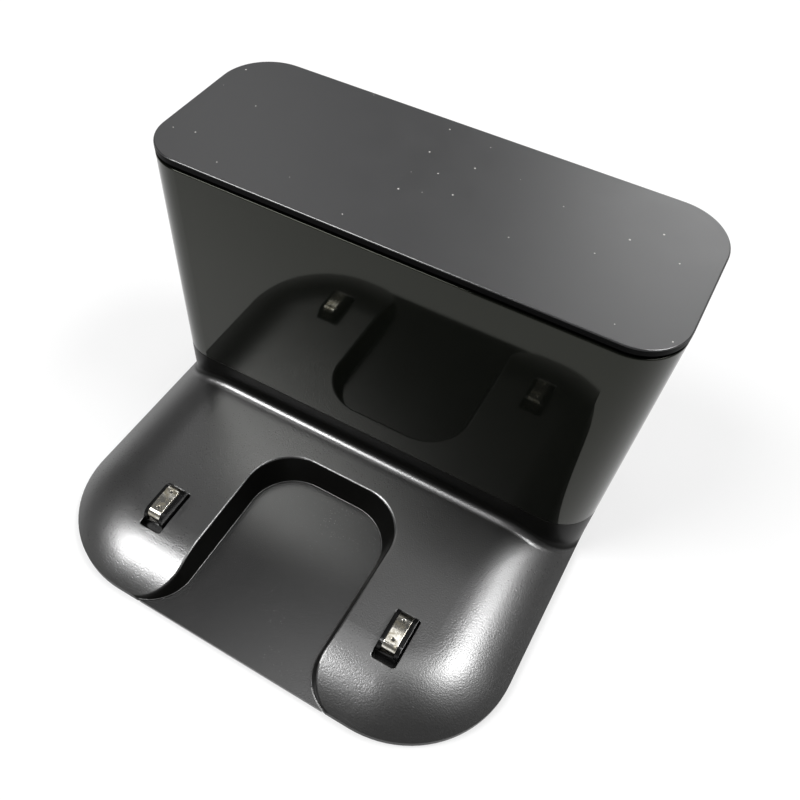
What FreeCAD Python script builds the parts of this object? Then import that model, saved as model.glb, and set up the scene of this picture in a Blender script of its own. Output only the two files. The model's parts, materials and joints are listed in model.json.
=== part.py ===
import FreeCAD, Part
import math
import os
import re

import Sketcher

# Robot vacuum charging dock, in millimetres. The origin is the middle of the footprint on the floor,
# +Z points up, the lobes and the caster channel face -Y, and X runs along the tower.
SIZES = {
    # outer form
    "dock_depth": 135.5,
    "dock_height": 97.0,
    "tower_width": 150.0,
    "tower_depth": 57.0,
    "tower_corner": 12.8,
    "tower_back_corner": 15.8,
    "foot_drop": 0.8,
    # base tray
    "tray_corner": 34.0,
    "crown_height": 11.0,
    "crown_roll": 24.0,
    "crown_radius": 40.0,
    "tray_wall": 2.2,
    "tray_rim": 4.2,
    "shell_seat": 20.2,
    "skirt_fillet": 3.2,
    "deck_thickness": 2.2,
    "lip_height": 4.0,
    "lip_wall": 1.8,
    "fit_gap": 0.2,
    "blank_margin": 8.0,
    # caster channel
    "channel_floor_width": 46.5,
    "channel_rim_width": 51.4,
    "channel_floor_reach": 15.8,
    "channel_rim_reach": 12.8,
    "channel_corner": 15.4,
    "mouth_radius": 14.0,
    "mouth_lead": 0.5,
    "channel_edge": 0.8,
    # bottom plate, feet and ballast
    "plate_thickness": 1.4,
    "plate_gap": 0.3,
    "foot_length": 16.0,
    "foot_width": 7.0,
    "foot_corner": 3.0,
    "foot_thickness": 1.2,
    "front_foot_side": 29.5,
    "front_foot_inset": 15.0,
    "rear_foot_side": 17.5,
    "rear_foot_inset": 11.0,
    "ballast_width": 64.0,
    "ballast_depth": 34.0,
    "ballast_thickness": 6.0,
    # charging contacts
    "contact_side": 33.7,
    "contact_inset": 27.2,
    "contact_top": 15.2,
    "contact_travel": 3.5,
    "strip_width": 4.3,
    "strip_length": 12.6,
    "strip_thickness": 0.5,
    "strip_bend": 1.6,
    "strip_leg": 4.2,
    "strip_gap": 0.1,
    "dimple_radius": 0.55,
    "dimple_depth": 0.25,
    "dimple_spread": 6.4,
    "slot_width": 7.6,
    "slot_length": 16.2,
    "slot_corner": 0.8,
    "slot_edge": 0.3,
    "slot_lead": 0.9,
    "slide_gap": 0.4,
    "carrier_length": 13.8,
    "cheek_drop": 0.5,
    "cheek_round": 3.0,
    "flange_width": 9.6,
    "flange_length": 17.0,
    "flange_thickness": 1.5,
    "flange_gap": 0.9,
    "well_wall": 1.2,
    "spring_radius": 1.7,
    "spring_wire": 0.45,
    "spring_turns": 7.0,
    "spring_gap": 0.3,
    "peg_radius": 1.0,
    "peg_height": 3.0,
    "terminal_radius": 3.4,
    "terminal_thickness": 0.4,
    "terminal_width": 4.0,
    "terminal_tail": 3.0,
    "lead_radius": 0.7,
    "lead_bend": 6.0,
    # tower shell, cap and rear panel
    "shell_wall": 2.2,
    "shell_edge": 0.35,
    "cap_thickness": 1.8,
    "cap_edge": 0.5,
    "reveal_gap": 1.2,
    "reveal_depth": 1.2,
    "plug_depth": 5.0,
    "plug_wall": 1.8,
    "column_radius": 3.6,
    "column_height": 24.0,
    "column_inset": 11.5,
    "window_side": 23.0,
    "window_sill": 0.5,
    "window_corner": 4.0,
    "panel_wall": 2.0,
    "panel_lap": 4.0,
    # power inlet
    "inlet_width": 20.0,
    "inlet_height": 12.0,
    "inlet_depth": 16.0,
    "inlet_level": 37.0,
    "inlet_flange": 2.0,
    "inlet_flange_thickness": 1.5,
    "socket_radius": 3.9,
    "socket_waist": 6.6,
    "socket_depth": 12.0,
    "pin_spacing": 8.6,
    "pin_radius": 1.15,
    "pin_recess": 3.0,
    # power board
    "board_width": 94.0,
    "board_height": 50.0,
    "board_thickness": 1.6,
    "board_low": 31.0,
    "board_standoff": 17.0,
    "post_radius": 3.0,
    "post_inset": 5.0,
    "transformer_width": 24.0,
    "transformer_depth": 17.0,
    "transformer_height": 20.0,
    "transformer_side": 20.0,
    "transformer_level": 62.0,
    "winding_radius": 8.5,
    "bobbin_thickness": 2.0,
    "capacitor_radius": 6.0,
    "capacitor_length": 17.0,
    "capacitor_side": 14.0,
    "capacitor_level": 46.0,
    "capacitor_edge": 0.8,
    "connector_width": 8.0,
    "connector_depth": 6.0,
    "connector_height": 7.0,
    # infrared emitters
    "emitter_level": 64.0,
    "emitter_inset": 14.0,
    "emitter_radius": 2.5,
    "emitter_length": 6.2,
    "emitter_collar": 0.5,
    "hood_side": 23.0,
    "hood_height": 16.0,
    "hood_depth": 8.0,
    "hood_bore_gap": 0.6,
    "emitter_board_height": 13.0,
    "emitter_board_thickness": 1.2,
    "signal_lead_radius": 1.1,
    "signal_lead_side": 26.0,
    "signal_lead_drop": 10.0,
    "signal_lead_bend": 4.0,
    # screws
    "screw_radius": 1.3,
    "screw_gap": 0.05,
    "screw_grip": 5.0,
    "screw_head_radius": 2.5,
    "screw_head_height": 1.3,
    "screw_boss_radius": 3.2,
    "tower_screw_radius": 1.5,
    "tower_screw_grip": 8.0,
    "front_screw_side": 14.5,
    "front_screw_inset": 27.0,
    "middle_screw_side": 19.5,
    "rear_screw_side": 37.5,
    "rear_screw_inset": 9.0,
    "emitter_screw_inset": 6.0,
}

doc = FreeCAD.newDocument("ChargingDock")
sheet = doc.addObject("Spreadsheet::Sheet", "Sizes")
for row, (size_name, size) in enumerate(SIZES.items(), start=1):
    sheet.set(f"A{row}", size_name)
    sheet.set(f"B{row}", str(size))
    sheet.setAlias(f"B{row}", size_name)
doc.recompute()

# Places that several pieces share, written in the sheet's names.
TOWER_HALF = "(tower_width / 2)"
DOCK_FRONT = "(-dock_depth / 2)"
TOWER_BACK = "(dock_depth / 2)"
TOWER_FRONT = f"({TOWER_BACK} - tower_depth)"
TOWER_MIDDLE = f"({TOWER_BACK} - tower_depth / 2)"
FLOOR_LEVEL = "(foot_drop + plate_thickness)"
CROWN_UNDERSIDE = "(crown_height - tray_wall)"
DECK_UNDERSIDE = "(shell_seat - deck_thickness)"
SHELL_TOP = "(dock_height - cap_thickness - reveal_gap)"
SHELL_BACK_INSIDE = f"({TOWER_BACK} - shell_wall)"
SHELL_FRONT_INSIDE = f"({TOWER_FRONT} + shell_wall)"
PANEL_INSIDE = f"({SHELL_BACK_INSIDE} - panel_wall)"
BOARD_BACK = f"({PANEL_INSIDE} - board_standoff)"
BOARD_FRONT = f"({BOARD_BACK} - board_thickness)"
BLANK_LOW = "(-2 * blank_margin)"
CONTACT_X = f"({TOWER_HALF} - contact_side)"
CONTACT_Y = f"({DOCK_FRONT} + contact_inset)"
SLOT_Y = f"({CONTACT_Y} - slot_lead)"
CARRIER_WIDTH = "(slot_width - 2 * slide_gap)"
FLANGE_TOP = f"({CROWN_UNDERSIDE} - flange_gap)"
FLANGE_LOW = f"({FLANGE_TOP} - flange_thickness)"
STRIP_UNDERSIDE = "(contact_top - strip_thickness)"
LEG_LOW = "(contact_top - strip_leg)"
SPRING_LOW = f"({FLOOR_LEVEL} + terminal_thickness)"
LEAD_LEVEL = f"({SPRING_LOW} + lead_radius)"
LEAD_RISE = f"({BOARD_FRONT} - connector_depth / 2)"
TAIL_END = f"({SLOT_Y} + flange_length / 2 + slide_gap + well_wall + terminal_tail)"
HOOD_BACK = f"({SHELL_FRONT_INSIDE} + hood_depth)"
HOOD_WIDTH = "(tower_width - 2 * hood_side)"
EMITTER_BOARD_BACK = f"({HOOD_BACK} + emitter_board_thickness)"
EMITTER_SCREW_X = f"({HOOD_WIDTH} / 2 - emitter_screw_inset)"
CONNECTOR_LOW = "(board_low + post_inset * 2)"
WINDOW_WIDTH = "(tower_width - 2 * window_side)"
WINDOW_LOW = "(shell_seat + lip_height + panel_lap + window_sill)"
WINDOW_HIGH = f"({SHELL_TOP} - plug_depth - panel_lap - window_sill)"
EMITTER_X = f"({HOOD_WIDTH} / 2 - emitter_inset)"
EMITTERS = {"left": f"(-{EMITTER_X})", "centre": f"(0 * {EMITTER_X})", "right": EMITTER_X}
SIDES = {"left": "-1", "right": "1"}
PLATE_SCREWS = [
    (f"({side} * ({TOWER_HALF} - {inset}))", y)
    for side in SIDES.values()
    for inset, y in (
        ("front_screw_side", f"({DOCK_FRONT} + front_screw_inset)"),
        ("middle_screw_side", f"({TOWER_FRONT} + rear_screw_inset)"),
        ("rear_screw_side", f"({TOWER_BACK} - rear_screw_inset)"),
    )
]
COLUMNS = [
    (f"({side} * ({TOWER_HALF} - column_inset))", y)
    for side in SIDES.values()
    for y in (f"({TOWER_FRONT} + column_inset)", f"({TOWER_BACK} - column_inset)")
]
BOARD_POSTS = [
    (f"({side} * (board_width / 2 - post_inset))", z)
    for side in SIDES.values()
    for z in ("(board_low + post_inset)", "(board_low + board_height - post_inset)")
]


# How close a probed point lies to the line that it is looked for on.
NEAR = 0.01
# Upward part of a normal that tells the channel's walls from the crown.
WALL_SLOPE = 0.6


def link(text):
    """Write an expression in the sheet's names the way other objects of the document read it."""
    return re.sub(r"[a-z][a-z_]*", lambda word: f"Sizes.{word[0]}" if word[0] in SIZES else word[0], text)


def number(text):
    """The present value of an expression in the sheet's names."""
    return float(sheet.evalExpression(text))


def bind(item, **texts):
    for prop, text in texts.items():
        item.setExpression(prop, link(text))
    return item


def place(item, x, y, z):
    for axis, text in zip("xyz", (x, y, z)):
        item.setExpression(f"Placement.Base.{axis}", link(text))
    return item


def box(name, x, y, z):
    """A block between the low and high texts of each axis."""
    item = doc.addObject("Part::Box", name)
    bind(item, Length=f"{x[1]} - ({x[0]})", Width=f"{y[1]} - ({y[0]})", Height=f"{z[1]} - ({z[0]})")
    return place(item, x[0], y[0], z[0])


ALONG = {
    "+Z": FreeCAD.Rotation(),
    "+Y": FreeCAD.Rotation(FreeCAD.Vector(1, 0, 0), -90),
    "-Y": FreeCAD.Rotation(FreeCAD.Vector(1, 0, 0), 90),
}


def cylinder(name, radius, length, at, along="+Z"):
    item = doc.addObject("Part::Cylinder", name)
    item.Placement.Rotation = ALONG[along]
    bind(item, Radius=radius, Height=length)
    return place(item, *at)


def cone(name, radius_low, radius_high, length, at, along="+Z"):
    item = doc.addObject("Part::Cone", name)
    item.Placement.Rotation = ALONG[along]
    bind(item, Radius1=radius_low, Radius2=radius_high, Height=length)
    return place(item, *at)


def fuse(name, items):
    item = doc.addObject("Part::MultiFuse", name)
    item.Shapes = items
    return item


def group(name, items):
    """Separate solids that share one node."""
    item = doc.addObject("Part::Compound", name)
    item.Links = items
    return item


def cut(name, base, tools):
    item = doc.addObject("Part::Cut", name)
    item.Base = base
    item.Tool = tools[0] if len(tools) == 1 else fuse(f"{name}_tools", tools)
    return item


def new_body(name):
    return doc.addObject("PartDesign::Body", name)


def new_sketch(body, name, role, offset="0"):
    sketch = body.newObject("Sketcher::SketchObject", name)
    plane = next(item for item in body.Origin.OriginFeatures if item.Role == role)
    sketch.AttachmentSupport = [(plane, "")]
    sketch.MapMode = "FlatFace"
    sketch.setExpression("AttachmentOffset.Base.z", link(offset))
    return sketch


def pin_point(sketch, geometry, end, x, y):
    """Hold a point of the sketch at two expressions."""
    for kind, text in (("DistanceX", x), ("DistanceY", y)):
        held = sketch.addConstraint(Sketcher.Constraint(kind, -1, 1, geometry, end, number(text)))
        sketch.setExpression(f"Constraints[{held}]", link(text))


def hold_radius(sketch, geometry, text):
    held = sketch.addConstraint(Sketcher.Constraint("Radius", geometry, number(text)))
    sketch.setExpression(f"Constraints[{held}]", link(text))


def add_circle(sketch, radius, x, y):
    centre = FreeCAD.Vector(number(x), number(y), 0)
    geometry = sketch.addGeometry(Part.Circle(centre, FreeCAD.Vector(0, 0, 1), number(radius)))
    pin_point(sketch, geometry, 3, x, y)
    hold_radius(sketch, geometry, radius)


def rounding(before, corner, after, radius):
    """Tangent points and the arc of a corner rounded by a radius; turn is +1 to the left."""
    back = (before - corner).normalize()
    on = (after - corner).normalize()
    half = back.getAngle(on) / 2
    centre = corner + (back + on).normalize() * (radius / math.sin(half))
    start = corner + back * (radius / math.tan(half))
    end = corner + on * (radius / math.tan(half))
    turn = 1 if back.cross(on).z < 0 else -1
    return start, end, centre, turn


def arc_between(centre, radius, start, end, turn):
    """An arc from start to end that turns left (+1) or right (-1); arcs are stored turning left."""
    first, last = (start, end) if turn > 0 else (end, start)
    low = math.atan2(first.y - centre.y, first.x - centre.x)
    high = math.atan2(last.y - centre.y, last.x - centre.x)
    if high < low:
        high += 2 * math.pi
    circle = Part.Circle(centre, FreeCAD.Vector(0, 0, 1), radius)
    return Part.ArcOfCircle(circle, low, high)


def add_outline(sketch, corners, closed=True):
    """Straight runs between corners (x, y) or (x, y, radius), whose radius rounds the corner."""
    points = [FreeCAD.Vector(number(corner[0]), number(corner[1]), 0) for corner in corners]
    count = len(points)
    rounds = {}
    for at, corner in enumerate(corners):
        if len(corner) == 3:
            rounds[at] = rounding(points[at - 1], points[at], points[(at + 1) % count], number(corner[2]))
    lines = {}
    for at in range(count if closed else count - 1):
        after = (at + 1) % count
        start = rounds[at][1] if at in rounds else points[at]
        end = rounds[after][0] if after in rounds else points[after]
        lines[at] = sketch.addGeometry(Part.LineSegment(start, end))
    for at, corner in enumerate(corners):
        before = lines.get((at - 1) % count)
        after = lines.get(at)
        if at in rounds:
            start, end, centre, turn = rounds[at]
            arc = sketch.addGeometry(arc_between(centre, number(corner[2]), start, end, turn))
            first, last = (1, 2) if turn > 0 else (2, 1)
            sketch.addConstraint(Sketcher.Constraint("Tangent", before, 2, arc, first))
            sketch.addConstraint(Sketcher.Constraint("Tangent", arc, last, after, 1))
            hold_radius(sketch, arc, corner[2])
            apex = sketch.addGeometry(Part.Point(points[at]), True)
            pin_point(sketch, apex, 1, corner[0], corner[1])
            sketch.addConstraint(Sketcher.Constraint("PointOnObject", apex, 1, before))
            sketch.addConstraint(Sketcher.Constraint("PointOnObject", apex, 1, after))
        elif after is None:
            pin_point(sketch, before, 2, corner[0], corner[1])
        else:
            pin_point(sketch, after, 1, corner[0], corner[1])
            if before is not None:
                sketch.addConstraint(Sketcher.Constraint("Coincident", before, 2, after, 1))


def rectangle(x, y, front_corner=None, back_corner=None):
    """Corners of a rectangle between the low and high texts, its corners rounded where a radius is given."""
    front = (front_corner,) if front_corner else ()
    back = (back_corner,) if back_corner else ()
    return [(x[0], y[0], *front), (x[1], y[0], *front), (x[1], y[1], *back), (x[0], y[1], *back)]


def add_feature(body, kind, name, sketch, **texts):
    feature = body.newObject(f"PartDesign::{kind}", name)
    feature.Profile = sketch
    return bind(feature, **texts)


def pad(body, name, outlines, low, high, role="XY_Plane"):
    sketch = new_sketch(body, f"{name}_sketch", role, low)
    for outline in outlines:
        add_outline(sketch, outline)
    return add_feature(body, "Pad", name, sketch, Length=f"{high} - ({low})")


def pad_back(body, name, outlines, front, back):
    """A pad drawn in X and Z that fills the space between two places along Y."""
    return pad(body, name, outlines, f"(-({back}))", f"(-({front}))", "XZ_Plane")


def pad_across(body, name, outlines, left, right):
    """A pad drawn in Y and Z that fills the space between two places along X."""
    return pad(body, name, outlines, left, right, "YZ_Plane")


def pocket(body, name, outlines, low, high):
    """Cut outlines away between two levels."""
    sketch = new_sketch(body, f"{name}_sketch", "XY_Plane", high)
    for outline in outlines:
        add_outline(sketch, outline)
    return add_feature(body, "Pocket", name, sketch, Length=f"{high} - ({low})")


def round_edges(body, name, base, radius, wanted):
    """Fillet the wanted edges of a feature."""
    doc.recompute()
    chosen = [f"Edge{count}" for count, edge in enumerate(base.Shape.Edges, start=1) if wanted(edge)]
    fillet = body.newObject("PartDesign::Fillet", name)
    fillet.Base = (base, chosen)
    return bind(fillet, Radius=radius)


def roll_off(body, name, outline_half, outline_front, corner, arc_radius, level, outer):
    """Cut a long convex shoulder along both sides, the front and the front corners of a block."""
    path = new_sketch(body, f"{name}_path", "XY_Plane")
    rear = f"({TOWER_BACK} + 2 * blank_margin)"
    add_outline(path, [
        (f"-{outline_half}", rear),
        (f"-{outline_half}", outline_front, corner),
        (outline_half, outline_front, corner),
        (outline_half, rear),
    ], closed=False)
    profile = new_sketch(body, f"{name}_profile", "XZ_Plane", f"-{rear}")
    start = f"(-{TOWER_HALF} + crown_roll)"
    reach = f"({start} - ({outer}))"
    low = f"({level} - {arc_radius} + sqrt({arc_radius}^2 - {reach}^2))"
    above = f"({level} + blank_margin)"
    centre = FreeCAD.Vector(number(start), number(f"{level} - {arc_radius}"), 0)
    inner_end = FreeCAD.Vector(number(start), number(level), 0)
    outer_end = FreeCAD.Vector(number(outer), number(low), 0)
    shoulder = profile.addGeometry(arc_between(centre, number(arc_radius), inner_end, outer_end, 1))
    outer_top = FreeCAD.Vector(number(outer), number(above), 0)
    inner_top = FreeCAD.Vector(number(start), number(above), 0)
    runs = [(outer_end, outer_top), (outer_top, inner_top), (inner_top, inner_end)]
    first, second, third = [profile.addGeometry(Part.LineSegment(*run)) for run in runs]
    for one, other in (((shoulder, 2), (first, 1)), ((first, 2), (second, 1)),
                       ((second, 2), (third, 1)), ((third, 2), (shoulder, 1))):
        profile.addConstraint(Sketcher.Constraint("Coincident", *one, *other))
    hold_radius(profile, shoulder, arc_radius)
    pin_point(profile, first, 1, outer, low)
    pin_point(profile, second, 1, outer, above)
    pin_point(profile, third, 1, start, above)
    pin_point(profile, third, 2, start, level)
    shoulder_cut = add_feature(body, "SubtractivePipe", name, profile)
    shoulder_cut.Spine = path
    return shoulder_cut


def channel_outline(half_width, rear, corner, mouth_radius, front="0"):
    """The caster channel seen from above: round at the rear, flared where it leaves the front edge."""
    flare = "(channel_floor_width / 2 + mouth_radius + blank_margin)"
    mouth = f"({DOCK_FRONT} - mouth_lead + ({front}))"
    ahead = f"({DOCK_FRONT} - blank_margin)"
    right = [(flare, mouth), (half_width, mouth, mouth_radius), (half_width, rear, corner)]
    left = [(f"-{x}", *rest) for x, *rest in reversed(right)]
    return [*right, *left, (f"-{flare}", ahead), (flare, ahead)]


def channel_sections(body, name, extra):
    """Floor and rim sketches of the channel, grown on every side by an extra thickness."""
    lean = "((channel_rim_width - channel_floor_width) / 2)"
    rim_rise = "(channel_floor_reach - channel_rim_reach)"
    floor = new_sketch(body, f"{name}_floor", "XY_Plane", FLOOR_LEVEL)
    add_outline(floor, channel_outline(
        f"(channel_floor_width / 2 + {extra})", f"({TOWER_FRONT} - channel_floor_reach + {extra})",
        f"(channel_corner + {extra})", f"(mouth_radius - {extra})", extra))
    rim = new_sketch(body, f"{name}_rim", "XY_Plane", "crown_height")
    add_outline(rim, channel_outline(
        f"(channel_rim_width / 2 + {extra})", f"({TOWER_FRONT} - channel_floor_reach + {rim_rise} + {extra})",
        f"(channel_corner + {extra})", f"(mouth_radius - {lean} - {extra})", f"{lean} + {extra}"))
    return floor, rim


def channel_cut(body, name, extra):
    floor, rim = channel_sections(body, name, extra)
    walls = add_feature(body, "SubtractiveLoft", name, floor)
    walls.Sections = [rim]
    walls.Ruled = True
    return walls


def tray_outline(inset):
    return rectangle((f"-({TOWER_HALF} - {inset})", f"({TOWER_HALF} - {inset})"),
                     (f"({DOCK_FRONT} + {inset})", f"({TOWER_BACK} - {inset})"),
                     f"(tray_corner - {inset})", f"(tower_back_corner - {inset})")


def tower_outline(inset):
    return rectangle((f"-(tower_width / 2 - {inset})", f"(tower_width / 2 - {inset})"),
                     (f"({TOWER_FRONT} + {inset})", f"({TOWER_BACK} - {inset})"),
                     f"(tower_corner - {inset})", f"(tower_back_corner - {inset})")


def channel_rim_test(walls):
    """A test for the edges where the channel's walls meet the crown."""
    reach = number("channel_floor_width / 2 + mouth_radius")
    front = number(DOCK_FRONT) + NEAR
    floor, crown = number(FLOOR_LEVEL) + NEAR, number("crown_height") + NEAR

    def slope(face, point):
        return abs(face.normalAt(*face.Surface.parameter(point)).z)

    def at_rim(edge):
        middle = edge.valueAt((edge.FirstParameter + edge.LastParameter) / 2)
        if abs(middle.x) > reach or middle.y < front or not floor < middle.z < crown:
            return False
        slopes = sorted(slope(face, middle) for face in walls.Shape.ancestorsOfType(edge, Part.Face))
        return slopes[0] < WALL_SLOPE < slopes[-1]

    return at_rim


def slot_rim_test():
    """A test for the edges where the contact slots come out through the crown."""
    middle_x, middle_y = number(CONTACT_X), number(SLOT_Y)
    half_width, half_length = number("slot_width / 2") + NEAR, number("slot_length / 2") + NEAR
    floor = number(FLOOR_LEVEL) + NEAR

    def at_slot(edge):
        upright = edge.BoundBox.XLength < NEAR and edge.BoundBox.YLength < NEAR
        return not upright and all(
            abs(abs(point.x) - middle_x) < half_width and abs(point.y - middle_y) < half_length
            and point.z > floor for point in edge.discretize(5))

    return at_slot


def make_tray_form():
    """Outside of the tray: an oversize block is shouldered, blended into the skirt, then trimmed."""
    body = new_body("tray_form")
    wide = f"({TOWER_HALF} + blank_margin)"
    far_back = f"({TOWER_BACK} + blank_margin)"
    blank = rectangle((f"-{wide}", wide), (f"({DOCK_FRONT} - blank_margin)", far_back),
                      "(tray_corner + blank_margin)")
    pad(body, "tray_blank", [blank], BLANK_LOW, "crown_height")
    roll_off(body, "tray_shoulder", TOWER_HALF, DOCK_FRONT, "tray_corner", "crown_radius", "crown_height",
             f"(-{wide})")
    skirt = rectangle((f"-{TOWER_HALF}", TOWER_HALF), (TOWER_FRONT, far_back), "tower_corner")
    standing = pad(body, "tray_skirt", [skirt], BLANK_LOW, "shell_seat")

    half, front, corner = number(TOWER_HALF), number(TOWER_FRONT), number("tower_corner")
    crown, low = number("crown_height"), number(BLANK_LOW)

    def on_skirt(point):
        side = half - abs(point.x)
        ahead = point.y - front
        if side < corner and ahead < corner:
            gap = corner - math.hypot(corner - side, corner - ahead)
        else:
            gap = min(side, ahead)
        return abs(gap) < NEAR and low + NEAR < point.z < crown + NEAR

    def at_skirt_foot(edge):
        upright = edge.BoundBox.XLength < NEAR and edge.BoundBox.YLength < NEAR
        return not upright and all(on_skirt(point) for point in edge.discretize(5))

    round_edges(body, "skirt_blend", standing, "skirt_fillet", at_skirt_foot)
    beyond = rectangle((f"-2 * {wide}", f"2 * {wide}"), (f"2 * {DOCK_FRONT}", f"2 * {TOWER_BACK}"))
    pocket(body, "tray_trim", [beyond, tray_outline("0")], BLANK_LOW, "(shell_seat + blank_margin)")
    pocket(body, "underside_trim", [beyond], BLANK_LOW, "foot_drop")
    pad(body, "shell_lip", [tower_outline("(shell_wall + fit_gap)"),
                            tower_outline("(shell_wall + fit_gap + lip_wall)")],
        "shell_seat", "(shell_seat + lip_height)")
    walls = channel_cut(body, "channel_walls", "0")
    round_edges(body, "channel_rim_edge", walls, "channel_edge", channel_rim_test(walls))
    floor_outline = channel_outline("(channel_floor_width / 2)", f"({TOWER_FRONT} - channel_floor_reach)",
                                    "channel_corner", "mouth_radius")
    pocket(body, "channel_foot", [floor_outline], BLANK_LOW, FLOOR_LEVEL)
    slots = [
        rectangle(about(contact_x(side), "slot_width"), about(SLOT_Y, "slot_length"),
                  "slot_corner", "slot_corner")
        for side in SIDES
    ]
    openings = pocket(body, "contact_slots", slots, FLOOR_LEVEL, "(crown_height + blank_margin)")
    round_edges(body, "slot_rim_edge", openings, "slot_edge", slot_rim_test())
    return body


def about(middle, size):
    """Low and high texts of a size centred on a place."""
    return f"({middle} - ({size}) / 2)", f"({middle} + ({size}) / 2)"


def contact_x(side):
    return f"({SIDES[side]} * {CONTACT_X})"


def make_contact_well(side):
    """Wall in the tray round a carrier's flange, open at the rear for the terminal's tail."""
    x, width, length = contact_x(side), "(flange_width + 2 * slide_gap)", "(flange_length + 2 * slide_gap)"
    height = (FLOOR_LEVEL, "crown_height")
    outer = box(f"well_outer_{side}", about(x, f"{width} + 2 * well_wall"),
                about(SLOT_Y, f"{length} + 2 * well_wall"), height)
    inner = box(f"well_inner_{side}", about(x, width), about(SLOT_Y, length), height)
    notch = box(f"well_notch_{side}", about(x, "terminal_width + 2 * fit_gap"), (SLOT_Y, TAIL_END),
                (FLOOR_LEVEL, f"({LEAD_LEVEL} + 2 * lead_radius)"))
    return cut(f"contact_well_{side}", outer, [inner, notch])


def make_tray_space():
    """Space inside the tray, closed by the bottom plate; screw bosses and contact wells stand in it."""
    body = new_body("tray_space_form")
    pad(body, "space_blank", [tray_outline("tray_rim")], "0", CROWN_UNDERSIDE)
    roll_off(body, "space_shoulder", f"({TOWER_HALF} - tray_rim)", f"({DOCK_FRONT} + tray_rim)",
             "(tray_corner - tray_rim)", "(crown_radius - tray_wall)", CROWN_UNDERSIDE, f"(-{TOWER_HALF})")
    channel_cut(body, "space_channel", "tray_wall")
    inside = rectangle((f"(-{TOWER_HALF} + tray_wall)", f"({TOWER_HALF} - tray_wall)"),
                       (f"({TOWER_FRONT} + tray_wall)", f"({TOWER_BACK} - tray_wall)"),
                       "(tower_corner - tray_wall)", "(tower_back_corner - tray_wall)")
    pad(body, "skirt_space", [inside], FLOOR_LEVEL, DECK_UNDERSIDE)
    bosses = [
        cylinder(f"screw_boss_{count}", "screw_boss_radius", f"shell_seat - {FLOOR_LEVEL}",
                 (x, y, FLOOR_LEVEL))
        for count, (x, y) in enumerate(PLATE_SCREWS, start=1)
    ]
    wells = [make_contact_well(side) for side in SIDES]
    return cut("tray_space", body, bosses + wells)


def make_base_tray():
    tools = [make_tray_space()]
    for count, (x, y) in enumerate(PLATE_SCREWS, start=1):
        tools.append(cylinder(f"boss_pilot_{count}", "(screw_radius + screw_gap)", "screw_grip",
                              (x, y, FLOOR_LEVEL)))
    for count, (x, y) in enumerate(COLUMNS, start=1):
        tools.append(cylinder(f"deck_screw_hole_{count}", "(tower_screw_radius + fit_gap)", "deck_thickness",
                              (x, y, DECK_UNDERSIDE)))
    for side in SIDES:
        tools.append(cylinder(f"deck_lead_hole_{side}", "(2 * lead_radius)", "deck_thickness",
                              (contact_x(side), LEAD_RISE, DECK_UNDERSIDE)))
    return cut("base_tray", make_tray_form(), tools)


def foot_outline(side, inset, y, extra):
    return rectangle(about(f"({SIDES[side]} * ({TOWER_HALF} - {inset}))", f"foot_length + 2 * {extra}"),
                     about(y, f"foot_width + 2 * {extra}"), "foot_corner", "foot_corner")


FEET = [
    (f"{row}_{side}", side, f"{row}_foot_side", y)
    for row, y in (("front", f"({DOCK_FRONT} + front_foot_inset)"),
                   ("rear", f"({TOWER_BACK} - rear_foot_inset)"))
    for side in SIDES
]


def make_bottom_plate():
    """Flat plate inside the tray's rim, with a tongue that is the channel's floor out to the front edge."""
    body = new_body("plate_form")
    pad(body, "plate_sheet", [tray_outline("(tray_rim + plate_gap)")], "foot_drop", FLOOR_LEVEL)
    tongue = channel_outline("(channel_floor_width / 2 - plate_gap)",
                             f"({TOWER_FRONT} - channel_floor_reach - plate_gap)",
                             "(channel_corner - plate_gap)", "(mouth_radius + plate_gap)", "-plate_gap")
    pad(body, "plate_tongue", [tongue], "foot_drop", FLOOR_LEVEL)
    ahead = rectangle((f"-{TOWER_HALF}", TOWER_HALF), (f"({DOCK_FRONT} - 2 * blank_margin)", DOCK_FRONT))
    pocket(body, "plate_front", [ahead], "0", "crown_height")
    recesses = new_body("foot_recesses")
    pad(recesses, "foot_recess", [foot_outline(side, inset, y, "fit_gap") for _, side, inset, y in FEET],
        "0", "foot_thickness")
    pegs = [
        cylinder(f"spring_peg_{side}", "peg_radius", "peg_height", (contact_x(side), CONTACT_Y, FLOOR_LEVEL))
        for side in SIDES
    ]
    tools = [recesses]
    for count, (x, y) in enumerate(PLATE_SCREWS, start=1):
        tools.append(cylinder(f"plate_hole_{count}", "(screw_radius + fit_gap)", "plate_thickness",
                              (x, y, "foot_drop")))
        tools.append(cone(f"plate_sink_{count}", "(screw_head_radius + screw_gap)",
                          "(screw_radius + screw_gap)", "screw_head_height", (x, y, "foot_drop")))
    return cut("bottom_plate", fuse("plate_with_pegs", [body, *pegs]), tools)


def make_feet():
    feet = []
    for name, side, inset, y in FEET:
        body = new_body(f"foot_{name}")
        pad(body, f"foot_pad_{name}", [foot_outline(side, inset, y, "0")], "0", "foot_thickness")
        feet.append(body)
    return feet


def make_ballast():
    return box("ballast_plate", about("0", "ballast_width"), about(TOWER_MIDDLE, "ballast_depth"),
               (FLOOR_LEVEL, f"({FLOOR_LEVEL} + ballast_thickness)"))


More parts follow.
